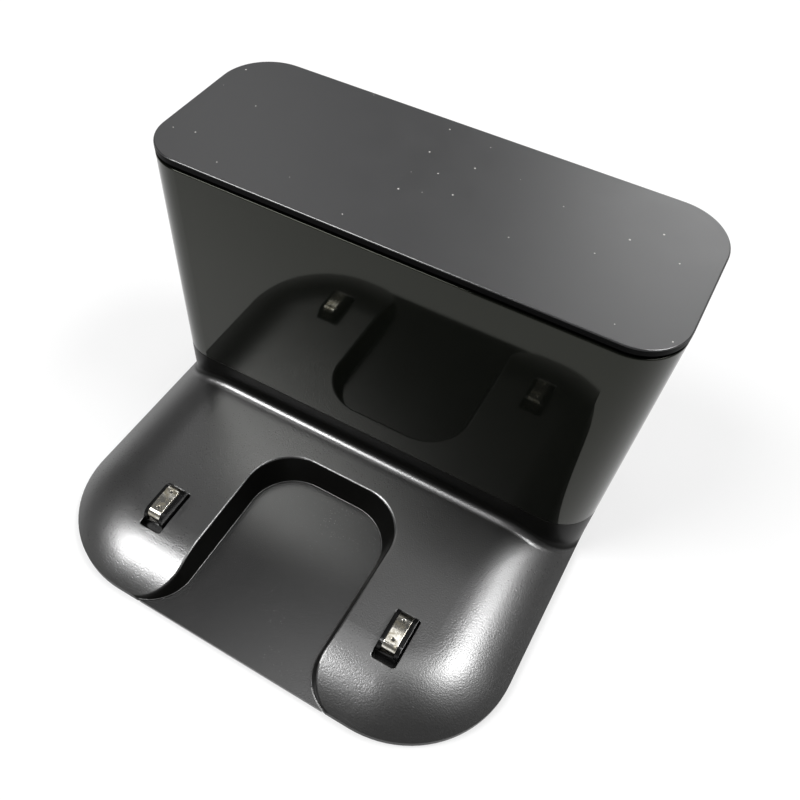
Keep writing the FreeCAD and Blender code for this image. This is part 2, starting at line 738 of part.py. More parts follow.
def make_tower_shell():
    """Glossy sleeve with screw columns in its corners and a window for the rear panel."""
    body = new_body("shell_form")
    sleeve = pad(body, "shell_sleeve", [tower_outline("0"), tower_outline("shell_wall")],
                 "shell_seat", SHELL_TOP)
    outer_half = number("tower_width / 2") - NEAR

    def outer_rim(edge):
        box_of = edge.BoundBox
        reach = max(abs(box_of.XMin), abs(box_of.XMax))
        ends = (number(TOWER_FRONT), number(TOWER_BACK))
        outside = reach > outer_half or any(abs(value - end) < NEAR for end in ends
                                            for value in (box_of.YMin, box_of.YMax))
        return box_of.ZLength < NEAR and outside

    round_edges(body, "shell_edges", sleeve, "shell_edge", outer_rim)
    window = new_body("rear_window")
    pad_back(window, "rear_window_hole", [rectangle(about("0", WINDOW_WIDTH), (WINDOW_LOW, WINDOW_HIGH),
                                                    "window_corner", "window_corner")],
             f"({SHELL_BACK_INSIDE} - shell_wall)", f"({TOWER_BACK} + shell_wall)")
    columns, pilots = [], []
    for count, (x, y) in enumerate(COLUMNS, start=1):
        column = cylinder(f"column_post_{count}", "column_radius", "column_height", (x, y, "shell_seat"))
        columns.append(column)
        pilots.append(cylinder(f"column_pilot_{count}", "(tower_screw_radius + screw_gap)",
                               "(tower_screw_grip + column_radius)", (x, y, "shell_seat")))
    wall_middle = "(tower_width / 2 - 0.75 * shell_wall)"
    for count, y in enumerate((COLUMNS[0][1], COLUMNS[1][1]), start=1):
        height = ("(shell_seat + lip_height + window_sill)", "(shell_seat + column_height)")
        inner = "(tower_width / 2 - column_inset)"
        thick = about(y, "lip_wall")
        columns.append(box(f"column_web_left_{count}", (f"-{wall_middle}", f"-{inner}"), thick, height))
        columns.append(box(f"column_web_right_{count}", (inner, wall_middle), thick, height))
    return cut("tower_shell", fuse("shell_with_columns", [body, *columns]), [window, *pilots])


def make_top_cap():
    """Flat lid on a recessed neck, with a plug that drops into the shell."""
    body = new_body("top_cap")
    flange_low = "(dock_height - cap_thickness)"
    pad(body, "cap_plug", [tower_outline("(shell_wall + fit_gap)"),
                           tower_outline("(shell_wall + fit_gap + plug_wall)")],
        f"({SHELL_TOP} - plug_depth)", SHELL_TOP)
    pad(body, "cap_neck", [tower_outline("reveal_depth")], SHELL_TOP, flange_low)
    lid = pad(body, "cap_lid", [tower_outline("0")], flange_low, "dock_height")
    top = number("dock_height")
    round_edges(body, "cap_edges", lid, "cap_edge", lambda edge: edge.BoundBox.ZMin > top - NEAR)
    return body


def make_rear_panel():
    """Panel in the shell's window, lapped behind its edge, with posts for the power board."""
    body = new_body("panel_form")
    rounded = ("window_corner", "window_corner")
    lap_outline = rectangle(about("0", f"{WINDOW_WIDTH} + 2 * panel_lap"),
                            (f"({WINDOW_LOW} - panel_lap)", f"({WINDOW_HIGH} + panel_lap)"), *rounded)
    pad_back(body, "panel_lap_plate", [lap_outline], PANEL_INSIDE, SHELL_BACK_INSIDE)
    face_outline = rectangle(about("0", f"{WINDOW_WIDTH} - 2 * fit_gap"),
                             (f"({WINDOW_LOW} + fit_gap)", f"({WINDOW_HIGH} - fit_gap)"), *rounded)
    pad_back(body, "panel_face", [face_outline], SHELL_BACK_INSIDE, TOWER_BACK)
    posts, pilots = [], []
    for count, (x, z) in enumerate(BOARD_POSTS, start=1):
        at = (x, BOARD_BACK, z)
        posts.append(cylinder(f"board_post_{count}", "post_radius", "board_standoff", at, "+Y"))
        pilots.append(cylinder(f"post_pilot_{count}", "(screw_radius + screw_gap)",
                               "(screw_grip + screw_radius)", at, "+Y"))
    opening = box("inlet_opening", about("0", "inlet_width + 2 * fit_gap"),
                  (f"({PANEL_INSIDE} - panel_wall)", f"({TOWER_BACK} + panel_wall)"),
                  about("inlet_level", "inlet_height + 2 * fit_gap"))
    return cut("rear_panel", fuse("panel_with_posts", [body, *posts]), [opening, *pilots])


def make_power_inlet():
    """Two-pin socket whose figure-of-eight well opens through the rear panel."""
    block = box("inlet_block", about("0", "inlet_width"), (f"({TOWER_BACK} - inlet_depth)", TOWER_BACK),
                about("inlet_level", "inlet_height"))
    flange = box("inlet_lip", about("0", "inlet_width + 2 * inlet_flange"),
                 (f"({PANEL_INSIDE} - inlet_flange_thickness)", PANEL_INSIDE),
                 about("inlet_level", "inlet_height + 2 * inlet_flange"))
    mouth = f"({TOWER_BACK} - socket_depth)"
    tools = [box("socket_waist_hole", about("0", "pin_spacing"), (mouth, TOWER_BACK),
                 about("inlet_level", "socket_waist"))]
    pins = []
    for side, sign in SIDES.items():
        x = f"({sign} * pin_spacing / 2)"
        tools.append(cylinder(f"socket_lobe_{side}", "socket_radius", "socket_depth",
                              (x, mouth, "inlet_level"), "+Y"))
        tools.append(cylinder(f"pin_hole_{side}", "(pin_radius + screw_gap)", "inlet_depth",
                              (x, f"({TOWER_BACK} - inlet_depth)", "inlet_level"), "+Y"))
        pins.append(cylinder(f"inlet_pin_{side}", "pin_radius", f"{TOWER_BACK} - pin_recess - {BOARD_BACK}",
                             (x, BOARD_BACK, "inlet_level"), "+Y"))
    return [cut("power_inlet", fuse("inlet_solid", [block, flange]), tools), group("inlet_pins", pins)]


def make_power_board():
    """Upright board on the rear panel's posts, with the parts that stand on its front."""
    sheet_of_board = box("board_sheet", about("0", "board_width"), (BOARD_FRONT, BOARD_BACK),
                         ("board_low", "(board_low + board_height)"))
    holes = [
        cylinder(f"board_hole_{count}", "(screw_radius + fit_gap)", "board_thickness",
                 (x, BOARD_FRONT, z), "+Y")
        for count, (x, z) in enumerate(BOARD_POSTS, start=1)
    ]
    board = cut("power_board", sheet_of_board, holes)

    x, z = "(-transformer_side)", "transformer_level"
    bobbin = box("bobbin_base", about(x, "transformer_width"),
                 (f"({BOARD_FRONT} - bobbin_thickness)", BOARD_FRONT), about(z, "transformer_height"))
    far = f"({BOARD_FRONT} - transformer_depth)"
    cheek = box("bobbin_cheek", about(x, "transformer_width"), (far, f"({far} + bobbin_thickness)"),
                about(z, "transformer_height"))
    winding = cylinder("bobbin_winding", "winding_radius", "transformer_depth - bobbin_thickness",
                       (x, far, z), "+Y")
    core = box("transformer_core", about(x, "transformer_width"),
               (f"({far} + bobbin_thickness)", BOARD_FRONT), about(z, "winding_radius"))
    transformer = fuse("transformer", [bobbin, cheek, winding, core])

    capacitor = new_body("bulk_capacitor")
    can = new_sketch(capacitor, "capacitor_circle", "XZ_Plane", f"(-{BOARD_FRONT})")
    add_circle(can, "capacitor_radius", "capacitor_side", "capacitor_level")
    drum = add_feature(capacitor, "Pad", "capacitor_can", can, Length="capacitor_length")
    round_edges(capacitor, "capacitor_rim", drum, "capacitor_edge",
                lambda edge: edge.BoundBox.YLength < NEAR)
    connectors = [
        box(f"lead_connector_{side}", about(contact_x(side), "connector_width"),
            (f"({BOARD_FRONT} - connector_depth)", BOARD_FRONT),
            (CONNECTOR_LOW, f"({CONNECTOR_LOW} + connector_height)"))
        for side in SIDES
    ]
    return [board, transformer, capacitor, *connectors]


def make_emitters():
    """Infrared emitters on their board, each in a bore of the hood that stands against the shell."""
    hood_block = box("hood_block", about("0", HOOD_WIDTH), (SHELL_FRONT_INSIDE, HOOD_BACK),
                     about("emitter_level", "hood_height"))
    bores, emitters = [], []
    for name, x in EMITTERS.items():
        bores.append(cylinder(f"hood_bore_{name}", "(emitter_radius + emitter_collar + hood_bore_gap)",
                              "hood_depth", (x, SHELL_FRONT_INSIDE, "emitter_level"), "+Y"))
        emitters.append(make_emitter(name, x))
    board_sheet = box("emitter_board_sheet", about("0", HOOD_WIDTH), (HOOD_BACK, EMITTER_BOARD_BACK),
                      about("emitter_level", "emitter_board_height"))
    holes = []
    for side, sign in SIDES.items():
        at = (f"({sign} * {EMITTER_SCREW_X})", EMITTER_BOARD_BACK, "emitter_level")
        depth = "(emitter_board_thickness + screw_grip)"
        bores.append(cylinder(f"hood_pilot_{side}", "(screw_radius + screw_gap)", depth, at, "-Y"))
        holes.append(cylinder(f"emitter_board_hole_{side}", "(screw_radius + fit_gap)", depth, at, "-Y"))
    hood = cut("emitter_hood", hood_block, bores)
    board = cut("emitter_board", board_sheet, holes)
    return [hood, board, *emitters]


def make_emitter(name, x):
    """A collar and a round-nosed lens, turned about the emitter's axis."""
    body = new_body(f"ir_emitter_{name}")
    profile = new_sketch(body, f"emitter_profile_{name}", "XY_Plane")
    axis = "fit_gap * 0"
    collar = "(emitter_radius + emitter_collar)"
    add_outline(profile, [
        (axis, "0 * emitter_length"),
        (collar, "0 * emitter_length"),
        (collar, "-2 * emitter_collar"),
        ("emitter_radius", "-2 * emitter_collar"),
        ("emitter_radius", "-emitter_length", "(0.9 * emitter_radius)"),
        (axis, "-emitter_length"),
    ])
    lens = body.newObject("PartDesign::Revolution", f"emitter_lens_{name}")
    lens.Profile = profile
    lens.ReferenceAxis = (profile, ["V_Axis"])
    lens.Angle = 360
    return place(body, x, HOOD_BACK, "emitter_level")


def make_lead(name, radius, side_x, route):
    """A round lead along a route of (y, z) points in an upright plane."""
    body = new_body(name)
    path = new_sketch(body, f"{name}_route", "YZ_Plane", side_x)
    add_outline(path, route, closed=False)
    start_y, start_z = route[0]
    section = new_sketch(body, f"{name}_section", "XZ_Plane", f"(-({start_y}))")
    add_circle(section, radius, side_x, start_z)
    sweep = add_feature(body, "AdditivePipe", f"{name}_sweep", section)
    sweep.Spine = path
    return body


def make_leads():
    leads = []
    for side in SIDES:
        leads.append(make_lead(f"contact_lead_{side}", "lead_radius", contact_x(side), [
            (f"({TAIL_END} - terminal_tail)", LEAD_LEVEL),
            (LEAD_RISE, LEAD_LEVEL, "lead_bend"),
            (LEAD_RISE, CONNECTOR_LOW),
        ]))
    halfway = f"(({EMITTER_BOARD_BACK} + {BOARD_FRONT}) / 2)"
    low = "(emitter_level - signal_lead_drop)"
    leads.append(make_lead("signal_lead", "signal_lead_radius", "signal_lead_side", [
        (EMITTER_BOARD_BACK, "emitter_level"),
        (halfway, "emitter_level", "signal_lead_bend"),
        (halfway, low, "signal_lead_bend"),
        (BOARD_FRONT, low),
    ]))
    return leads


def make_carrier(side):
    """Block that slides in the tray's slot: cheeks beside the strip, a land under it, a flange below."""
    x = contact_x(side)
    band = "(strip_width + 2 * strip_gap)"
    above = "(contact_top + strip_leg)"
    cheeks = new_body(f"carrier_cheeks_{side}")
    pad_across(cheeks, f"carrier_cheek_pad_{side}",
               [rectangle(about(CONTACT_Y, "carrier_length"), (FLANGE_TOP, "(contact_top - cheek_drop)"),
                          None, "cheek_round")], *about(x, CARRIER_WIDTH))
    trench = box(f"strip_trench_{side}", about(x, band), about(CONTACT_Y, "2 * carrier_length"),
                 (LEG_LOW, above))
    land = new_body(f"carrier_land_{side}")
    pad_across(land, f"carrier_land_pad_{side}",
               [rectangle(about(CONTACT_Y, "strip_length - 2 * strip_thickness"),
                          (FLANGE_TOP, STRIP_UNDERSIDE), None, "(strip_bend - strip_thickness)")],
               *about(x, band))
    flange = box(f"carrier_flange_{side}", about(x, "flange_width"), about(SLOT_Y, "flange_length"),
                 (FLANGE_LOW, FLANGE_TOP))
    bore = cylinder(f"spring_bore_{side}", "(spring_radius + spring_gap)",
                    f"{STRIP_UNDERSIDE} - {FLANGE_LOW}", (x, CONTACT_Y, FLANGE_LOW))
    open_cheeks = cut(f"carrier_open_{side}", cheeks, [trench])
    return cut(f"contact_carrier_{side}", fuse(f"carrier_solid_{side}", [open_cheeks, land, flange]), [bore])


def make_strip(side):
    """Bent contact strip with a leg at each end and two dimples in its top."""
    x = contact_x(side)
    rear, front = f"({CONTACT_Y} + strip_length / 2)", f"({CONTACT_Y} - strip_length / 2)"
    inner_bend = "(strip_bend - strip_thickness)"
    body = new_body(f"strip_form_{side}")
    pad_across(body, f"strip_bent_{side}", [[
        (front, LEG_LOW),
        (f"({front} + strip_thickness)", LEG_LOW),
        (f"({front} + strip_thickness)", STRIP_UNDERSIDE, inner_bend),
        (f"({rear} - strip_thickness)", STRIP_UNDERSIDE, inner_bend),
        (f"({rear} - strip_thickness)", LEG_LOW),
        (rear, LEG_LOW),
        (rear, "contact_top", "strip_bend"),
        (front, "contact_top", "strip_bend"),
    ]], *about(x, "strip_width"))
    dimples = [
        cylinder(f"strip_dimple_{side}_{count}", "dimple_radius", "dimple_depth",
                 (x, y, "(contact_top - dimple_depth)"))
        for count, y in enumerate(about(CONTACT_Y, "dimple_spread"), start=1)
    ]
    return cut(f"contact_plate_{side}", body, dimples)


def make_spring(side):
    """Coil spring from the terminal up to the underside of the strip."""
    body = new_body(f"contact_spring_{side}")
    section = new_sketch(body, f"spring_section_{side}", "XZ_Plane")
    add_circle(section, "(spring_wire / 2)", "(spring_radius - spring_wire / 2)", "(spring_wire / 2)")
    coil = body.newObject("PartDesign::AdditiveHelix", f"spring_coil_{side}")
    coil.Profile = section
    coil.ReferenceAxis = (section, ["V_Axis"])
    coil.Mode = "height-turns-angle"
    bind(coil, Height=f"{STRIP_UNDERSIDE} - {SPRING_LOW} - spring_wire", Turns="spring_turns")
    return place(body, contact_x(side), CONTACT_Y, SPRING_LOW)


def make_terminal(side):
    """Brass washer under the spring, with a tail for the lead."""
    x = contact_x(side)
    washer = cylinder(f"terminal_washer_{side}", "terminal_radius", "terminal_thickness",
                      (x, CONTACT_Y, FLOOR_LEVEL))
    tail = box(f"terminal_strip_{side}", about(x, "terminal_width"), (CONTACT_Y, TAIL_END),
               (FLOOR_LEVEL, SPRING_LOW))
    hole = cylinder(f"terminal_hole_{side}", "(peg_radius + screw_gap)", "terminal_thickness",
                    (x, CONTACT_Y, FLOOR_LEVEL))
    return cut(f"contact_terminal_{side}", fuse(f"terminal_blank_{side}", [washer, tail]), [hole])


def make_screw(name, radius, grip, head, at, along):
    """A shank that stands on its head: the head is a cone for a sunk screw or a disc."""
    x, y, z = at
    shank_at = {"+Z": (x, y, f"({z} + screw_head_height)"), "+Y": (x, f"({y} + screw_head_height)", z),
                "-Y": (x, f"({y} - screw_head_height)", z)}[along]
    if head == "sunk":
        top = cone(f"{name}_head", "screw_head_radius", radius, "screw_head_height", at, along)
    else:
        top = cylinder(f"{name}_head", "screw_head_radius", "screw_head_height", at, along)
    return fuse(name, [top, cylinder(f"{name}_shank", radius, grip, shank_at, along)])


def make_screws():
    plate_grip = "(plate_thickness - screw_head_height + screw_grip - screw_radius)"
    plate = [
        make_screw(f"plate_screw_{count}", "screw_radius", plate_grip, "sunk", (x, y, "foot_drop"), "+Z")
        for count, (x, y) in enumerate(PLATE_SCREWS, start=1)
    ]
    under_deck = f"({DECK_UNDERSIDE} - screw_head_height)"
    tower = [
        make_screw(f"tower_screw_{count}", "tower_screw_radius", "(deck_thickness + tower_screw_grip)",
                   "disc", (x, y, under_deck), "+Z")
        for count, (x, y) in enumerate(COLUMNS, start=1)
    ]
    board = [
        make_screw(f"board_screw_{count}", "screw_radius", "(board_thickness + screw_grip)", "disc",
                   (x, f"({BOARD_FRONT} - screw_head_height)", z), "+Y")
        for count, (x, z) in enumerate(BOARD_POSTS, start=1)
    ]
    emitter = [
        make_screw(f"emitter_screw_{side}", "screw_radius",
                   "(emitter_board_thickness + screw_grip - screw_radius)", "disc",
                   (f"({sign} * {EMITTER_SCREW_X})", f"({EMITTER_BOARD_BACK} + screw_head_height)",
                    "emitter_level"), "-Y")
        for side, sign in SIDES.items()
    ]
    return [group("plate_screws", plate), group("tower_screws", tower), group("board_screws", board),
            group("emitter_screws", emitter)]


nodes = [make_base_tray(), make_bottom_plate(), make_ballast()]
nodes += [make_tower_shell(), make_top_cap(), make_rear_panel()]
nodes += make_feet() + make_power_inlet() + make_power_board()
nodes += make_emitters() + make_leads() + make_screws()
for side_name in SIDES:
    nodes += [make_carrier(side_name), make_strip(side_name)]
    nodes += [make_spring(side_name), make_terminal(side_name)]
doc.recompute()

failed = [item.Name for item in doc.Objects if {"Invalid", "Error"} & set(item.State)]
failed += [node.Label for node in nodes if node.Shape.isNull() or not node.Shape.isValid()]
if failed:
    raise RuntimeError("not built: " + ", ".join(failed))
os.makedirs("parts", exist_ok=True)
for node in nodes:
    node.Shape.exportStep(f"parts/{node.Label}.step")
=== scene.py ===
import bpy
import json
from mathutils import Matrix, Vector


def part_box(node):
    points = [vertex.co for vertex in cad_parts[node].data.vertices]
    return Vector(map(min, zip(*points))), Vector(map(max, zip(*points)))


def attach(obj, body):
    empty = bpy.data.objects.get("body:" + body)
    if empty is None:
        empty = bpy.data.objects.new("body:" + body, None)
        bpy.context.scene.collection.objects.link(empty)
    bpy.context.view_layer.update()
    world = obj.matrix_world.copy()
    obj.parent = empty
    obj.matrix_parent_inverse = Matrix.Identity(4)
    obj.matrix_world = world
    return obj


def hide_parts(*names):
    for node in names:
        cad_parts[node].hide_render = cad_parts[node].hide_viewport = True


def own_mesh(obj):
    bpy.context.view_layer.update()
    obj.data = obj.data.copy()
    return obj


bl_info = {
    "name": "Robot vacuum charging dock",
    "version": (1, 0, 0),
    "blender": (4, 5, 0),
    "location": "View3D > Sidebar > Dock",
    "description": "Finishes, trim and studio of a charging dock around its packed model",
    "category": "Object",
}

import json
import math

import bmesh
import bpy
from bpy.props import FloatProperty, FloatVectorProperty, IntProperty, PointerProperty
from bpy.types import Operator, Panel, PropertyGroup
from mathutils import Euler, Matrix, Vector

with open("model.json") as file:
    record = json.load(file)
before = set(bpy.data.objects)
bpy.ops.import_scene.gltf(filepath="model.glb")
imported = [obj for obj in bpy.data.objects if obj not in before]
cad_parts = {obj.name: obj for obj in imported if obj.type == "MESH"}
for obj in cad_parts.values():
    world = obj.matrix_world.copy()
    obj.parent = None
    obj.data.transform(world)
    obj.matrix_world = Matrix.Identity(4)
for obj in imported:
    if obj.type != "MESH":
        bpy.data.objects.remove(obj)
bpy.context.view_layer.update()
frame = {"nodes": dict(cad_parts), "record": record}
SLOT_OF = {row["node"]: row["material_slot"] for row in frame["record"]["subparts"]}
FOOT_NODES = [name for name in frame["nodes"] if name.startswith("foot_")]
TRAVEL = {joint["name"]: joint["range_m"][1] for joint in frame["record"]["behaviour"]["joints"]}
MM = 0.001
WHITE = (1.0, 1.0, 1.0, 1.0)
DIMPLE = "dimple"


class Term:
    """A socket's value in a node tree, so that shader maths reads as plain arithmetic."""

    def __init__(self, graph, socket):
        self.graph = graph
        self.socket = socket

    def join(self, operation, first, second):
        return self.graph.node("ShaderNodeMath", {"operation": operation}, {0: first, 1: second})

    def __add__(self, other):
        return self.join("ADD", self, other)

    __radd__ = __add__

    def __mul__(self, other):
        return self.join("MULTIPLY", self, other)

    __rmul__ = __mul__

    def __sub__(self, other):
        return self.join("SUBTRACT", self, other)

    def __rsub__(self, other):
        return self.join("SUBTRACT", other, self)

    def __truediv__(self, other):
        return self.join("DIVIDE", self, other)

    def __rtruediv__(self, other):
        return self.join("DIVIDE", other, self)

    def __lt__(self, other):
        return self.join("LESS_THAN", self, other)

    def __gt__(self, other):
        return self.join("GREATER_THAN", self, other)


class Graph:
    """Adds nodes to a tree: a type, its settings first, then the values or links of its sockets."""

    def __init__(self, tree):
        self.tree = tree

    def node(self, kind, settings=None, sockets=None, output=0):
        node = self.tree.nodes.new(kind)
        for name, value in (settings or {}).items():
            setattr(node, name, value)
        for name, value in (sockets or {}).items():
            for item in value if isinstance(value, list) else [value]:
                if isinstance(item, Term):
                    self.tree.links.new(item.socket, node.inputs[name])
                else:
                    node.inputs[name].default_value = item
        return Term(self, node.outputs[output]) if node.outputs else None


class Finish(Graph):
    """A material of the dock: a Principled surface with patterns on Object coordinates."""

    def __init__(self, name):
        self.material = bpy.data.materials.new(name)
        self.material.use_nodes = True
        super().__init__(self.material.node_tree)
        self.tree.nodes.clear()
        self.place = self.node("ShaderNodeTexCoord", output="Object")

    def stretched(self, scale):
        return self.node("ShaderNodeMapping", None, {"Vector": self.place, "Scale": scale})

    def noise(self, size, detail=2.0, roughness=0.5, place=None):
        """Cloudy pattern from 0 to 1 with features of a size in metres."""
        return self.node("ShaderNodeTexNoise", None, {
            "Vector": place or self.place, "Scale": 1.0 / size, "Detail": detail, "Roughness": roughness})

    def specks(self, size, share, radius, across="3D"):
        """Mask of small spots: cells of a size, the share of them that holds a spot, and its radius."""
        kind = {"voronoi_dimensions": across}
        cells = {"Vector": self.place, "Scale": 1.0 / size}
        reach = self.node("ShaderNodeTexVoronoi", kind, cells, "Distance")
        shade = self.node("ShaderNodeTexVoronoi", kind, cells, "Color")
        chance = self.node("ShaderNodeSeparateColor", None, {"Color": shade}, "Red")
        width = self.node("ShaderNodeSeparateColor", None, {"Color": shade}, "Green")
        return (chance < share) * (reach < (width * 0.7 + 0.3) * (radius / size))

    def blend(self, factor, first, second):
        return self.node("ShaderNodeMix", {"data_type": "RGBA"},
                         {"Factor": factor, 6: first, 7: second}, 2)

    def bump(self, height, strength, distance):
        return self.node("ShaderNodeBump", None,
                         {"Height": height, "Strength": strength, "Distance": distance})

    def step(self, value, low, high):
        """Smooth step of a value: 0 below the low mark, 1 above the high one."""
        return self.node("ShaderNodeMapRange", {"interpolation_type": "SMOOTHSTEP"},
                         {"Value": value, "From Min": low, "From Max": high})

    def upright(self, low, high):
        """Mask of the faces that look up: 0 below one height of the normal, 1 above the other."""
        normal = self.node("ShaderNodeTexCoord", output="Normal")
        return self.step(self.node("ShaderNodeSeparateXYZ", None, {"Vector": normal}, "Z"), low, high)

    def coat(self, **sockets):
        names = {key.replace("_", " "): value for key, value in sockets.items()}
        return self.node("ShaderNodeBsdfPrincipled", None, names)

    def mixed(self, factor, first, second):
        return self.node("ShaderNodeMixShader", None, {"Fac": factor, 1: first, 2: second})

    def close(self, shader):
        self.node("ShaderNodeOutputMaterial", None, {"Surface": shader})
        return self.material

    def surface(self, **sockets):
        return self.close(self.coat(**sockets))


def opaque(colour, factor=1.0):
    return (*(part * factor for part in colour), 1.0)


def grained(name, colour, roughness, depth, index, wall):
    """Spark-eroded moulding: fine grain where it looks up; on faces that stand up the sheen is cut to the
    wall level, which paints shade on them.
    """
    finish = Finish(name)
    clouds = finish.noise(26 * MM, 3.0)
    tone = finish.noise(7 * MM, 4.0, 0.6)
    fine = finish.noise(0.46 * MM, 1.0, 0.6)
    shade = finish.blend(tone, opaque(colour, 0.82), opaque(colour, 1.18))
    satin = finish.coat(
        Base_Color=shade,
        Roughness=roughness + (clouds - 0.5) * 0.06 + (fine - 0.5) * 0.12,
        IOR=index,
        Specular_IOR_Level=1.0,
        Normal=finish.bump(fine, 1.0, depth))
    # Standing walls: same colour, sheen cut to the wall level as painted shade.
    shaded_walls = finish.coat(
        Base_Color=shade,
        Roughness=0.30 + (tone - 0.5) * 0.10,
        Specular_IOR_Level=wall,
        Normal=finish.bump(fine, 0.3, depth))
    return finish.close(finish.mixed(finish.upright(0.52, 0.86), shaded_walls, satin))


def polished_window(name, colour):
    """Deep polished plastic with the faint haze of handling."""
    finish = Finish(name)
    haze = finish.noise(18 * MM, 4.0, 0.6)
    wipes = finish.noise(9 * MM, 3.0, 0.5, finish.stretched((0.25, 1.0, 1.6)))
    ripple = finish.noise(45 * MM, 1.0)
    return finish.surface(
        Base_Color=finish.blend(haze, opaque(colour, 0.85), opaque(colour, 1.15)),
        Roughness=0.035 + haze * wipes * 0.05,
        IOR=1.36,
        Specular_Tint=(0.97, 1.0, 0.86, 1.0),
        Normal=finish.bump(ripple, 0.04, 0.1 * MM))


def dusty_matte(name, colour, dust):
    """Matte lid with fine texture, a few motes of dust, a rubbed edge and sides darkened with painted shade.
    """
    finish = Finish(name)
    tone = finish.noise(9 * MM, 4.0, 0.6)
    fine = finish.noise(0.22 * MM, 2.0, 0.6)
    motes = finish.specks(6.5 * MM, 0.14, 0.27 * MM, "2D")
    shade = finish.blend(tone, opaque(colour, 0.90), opaque(colour, 1.10))
    top = finish.coat(
        Base_Color=finish.blend(motes, shade, opaque(dust)),
        Roughness=0.20 + finish.upright(0.93, 0.995) * 0.22 + (tone - 0.5) * 0.08 + motes * 0.3,
        Specular_IOR_Level=1.0,
        Normal=finish.bump(fine, 0.25, 0.02 * MM))
    # Sides: colour cut to a tenth and sheen nearly removed, painted shade.
    side = finish.coat(
        Base_Color=finish.blend(tone, opaque(colour, 0.07), opaque(colour, 0.11)),
        Roughness=0.40 + (tone - 0.5) * 0.08,
        Specular_IOR_Level=0.03,
        Normal=finish.bump(fine, 0.25, 0.02 * MM))
    return finish.close(finish.mixed(finish.upright(0.25, 0.55), side, top))


def plated(name, colour, roughness, lay):
    """Bright metal whose fine drawing lines run along the long side of the lay, with painted shade in its
    dimples.
    """
    finish = Finish(name)
    lines = finish.noise(0.12 * MM, 2.0, 0.6, finish.stretched(lay))
    clean = finish.step(finish.noise(1.9 * MM, 4.0, 0.65), 0.36, 0.62)
    # Painted shade in the dimples: dark, not metallic and rougher by the strip's dimple share.
    dimple_shade = finish.node("ShaderNodeAttribute", {"attribute_name": DIMPLE}, None, "Fac")
    red, green, blue = colour
    metal = finish.blend(clean, (red * 0.50, green * 0.47, blue * 0.40, 1.0), opaque(colour))
    return finish.surface(
        Base_Color=finish.blend(dimple_shade, metal, opaque(colour, 0.02)),
        Metallic=1.0 - dimple_shade,
        Roughness=roughness + (lines - 0.5) * 0.16 + (0.5 - clean) * 0.18 + dimple_shade * 0.3,
        Normal=finish.bump(lines, 0.12, 0.01 * MM))


def soft_rubber(name, colour):
    finish = Finish(name)
    tone = finish.noise(2.5 * MM, 4.0, 0.6)
    fine = finish.noise(0.4 * MM, 2.0, 0.6)
    return finish.surface(
        Base_Color=finish.blend(tone, opaque(colour, 0.75), opaque(colour, 1.25)),
        Roughness=0.72 + (fine - 0.5) * 0.14,
        Normal=finish.bump(fine, 0.3, 0.03 * MM))


def solder_mask(name, colour, copper):
    """Board laminate with lighter tracks under the mask and bare pads."""
    finish = Finish(name)
    weave = finish.node("ShaderNodeTexBrick", {"offset": 0.5}, {
        "Vector": finish.place, "Scale": 1.0, "Mortar Size": 0.35 * MM, "Brick Width": 7 * MM,
        "Row Height": 3 * MM, "Mortar Smooth": 0.1}, "Fac")
    pads = finish.specks(3.2 * MM, 0.35, 0.5 * MM)
    tracks = finish.blend(weave, opaque(colour), opaque(colour, 1.7))
    return finish.surface(
        Base_Color=finish.blend(pads, tracks, opaque(copper)),
        Metallic=pads * 0.9,
        Roughness=0.38 - pads * 0.1)


def wound_tape(name, colour):
    finish = Finish(name)
    turns = finish.node("ShaderNodeTexWave", {"bands_direction": "Y"}, {
        "Vector": finish.place, "Scale": 90.0, "Distortion": 0.6, "Detail": 2.0}, "Fac")
    return finish.surface(
        Base_Color=finish.blend(turns, opaque(colour, 0.7), opaque(colour, 1.1)),
        Roughness=0.36 + turns * 0.12,
        Normal=finish.bump(turns, 0.2, 0.05 * MM))


def smooth_plastic(name, colour, roughness, gloss=0.5):
    finish = Finish(name)
    tone = finish.noise(4 * MM, 4.0, 0.6)
    fine = finish.noise(0.5 * MM, 2.0, 0.6)
    return finish.surface(
        Base_Color=finish.blend(tone, opaque(colour, 0.85), opaque(colour, 1.15)),
        Roughness=roughness + (tone - 0.5) * 0.10,
        Specular_IOR_Level=gloss,
        Normal=finish.bump(fine, 0.10, 0.02 * MM))


def cast_iron(name, colour):
    finish = Finish(name)
    scale = finish.noise(1.4 * MM, 6.0, 0.7)
    rust = finish.specks(2.5 * MM, 0.25, 0.7 * MM)
    body = finish.blend(scale, opaque(colour, 0.6), opaque(colour, 1.4))
    return finish.surface(
        Base_Color=finish.blend(rust, body, (0.10, 0.05, 0.03, 1.0)),
        Metallic=0.8 - rust * 0.7,
        Roughness=0.55 + (scale - 0.5) * 0.3,
        Normal=finish.bump(scale, 0.4, 0.1 * MM))


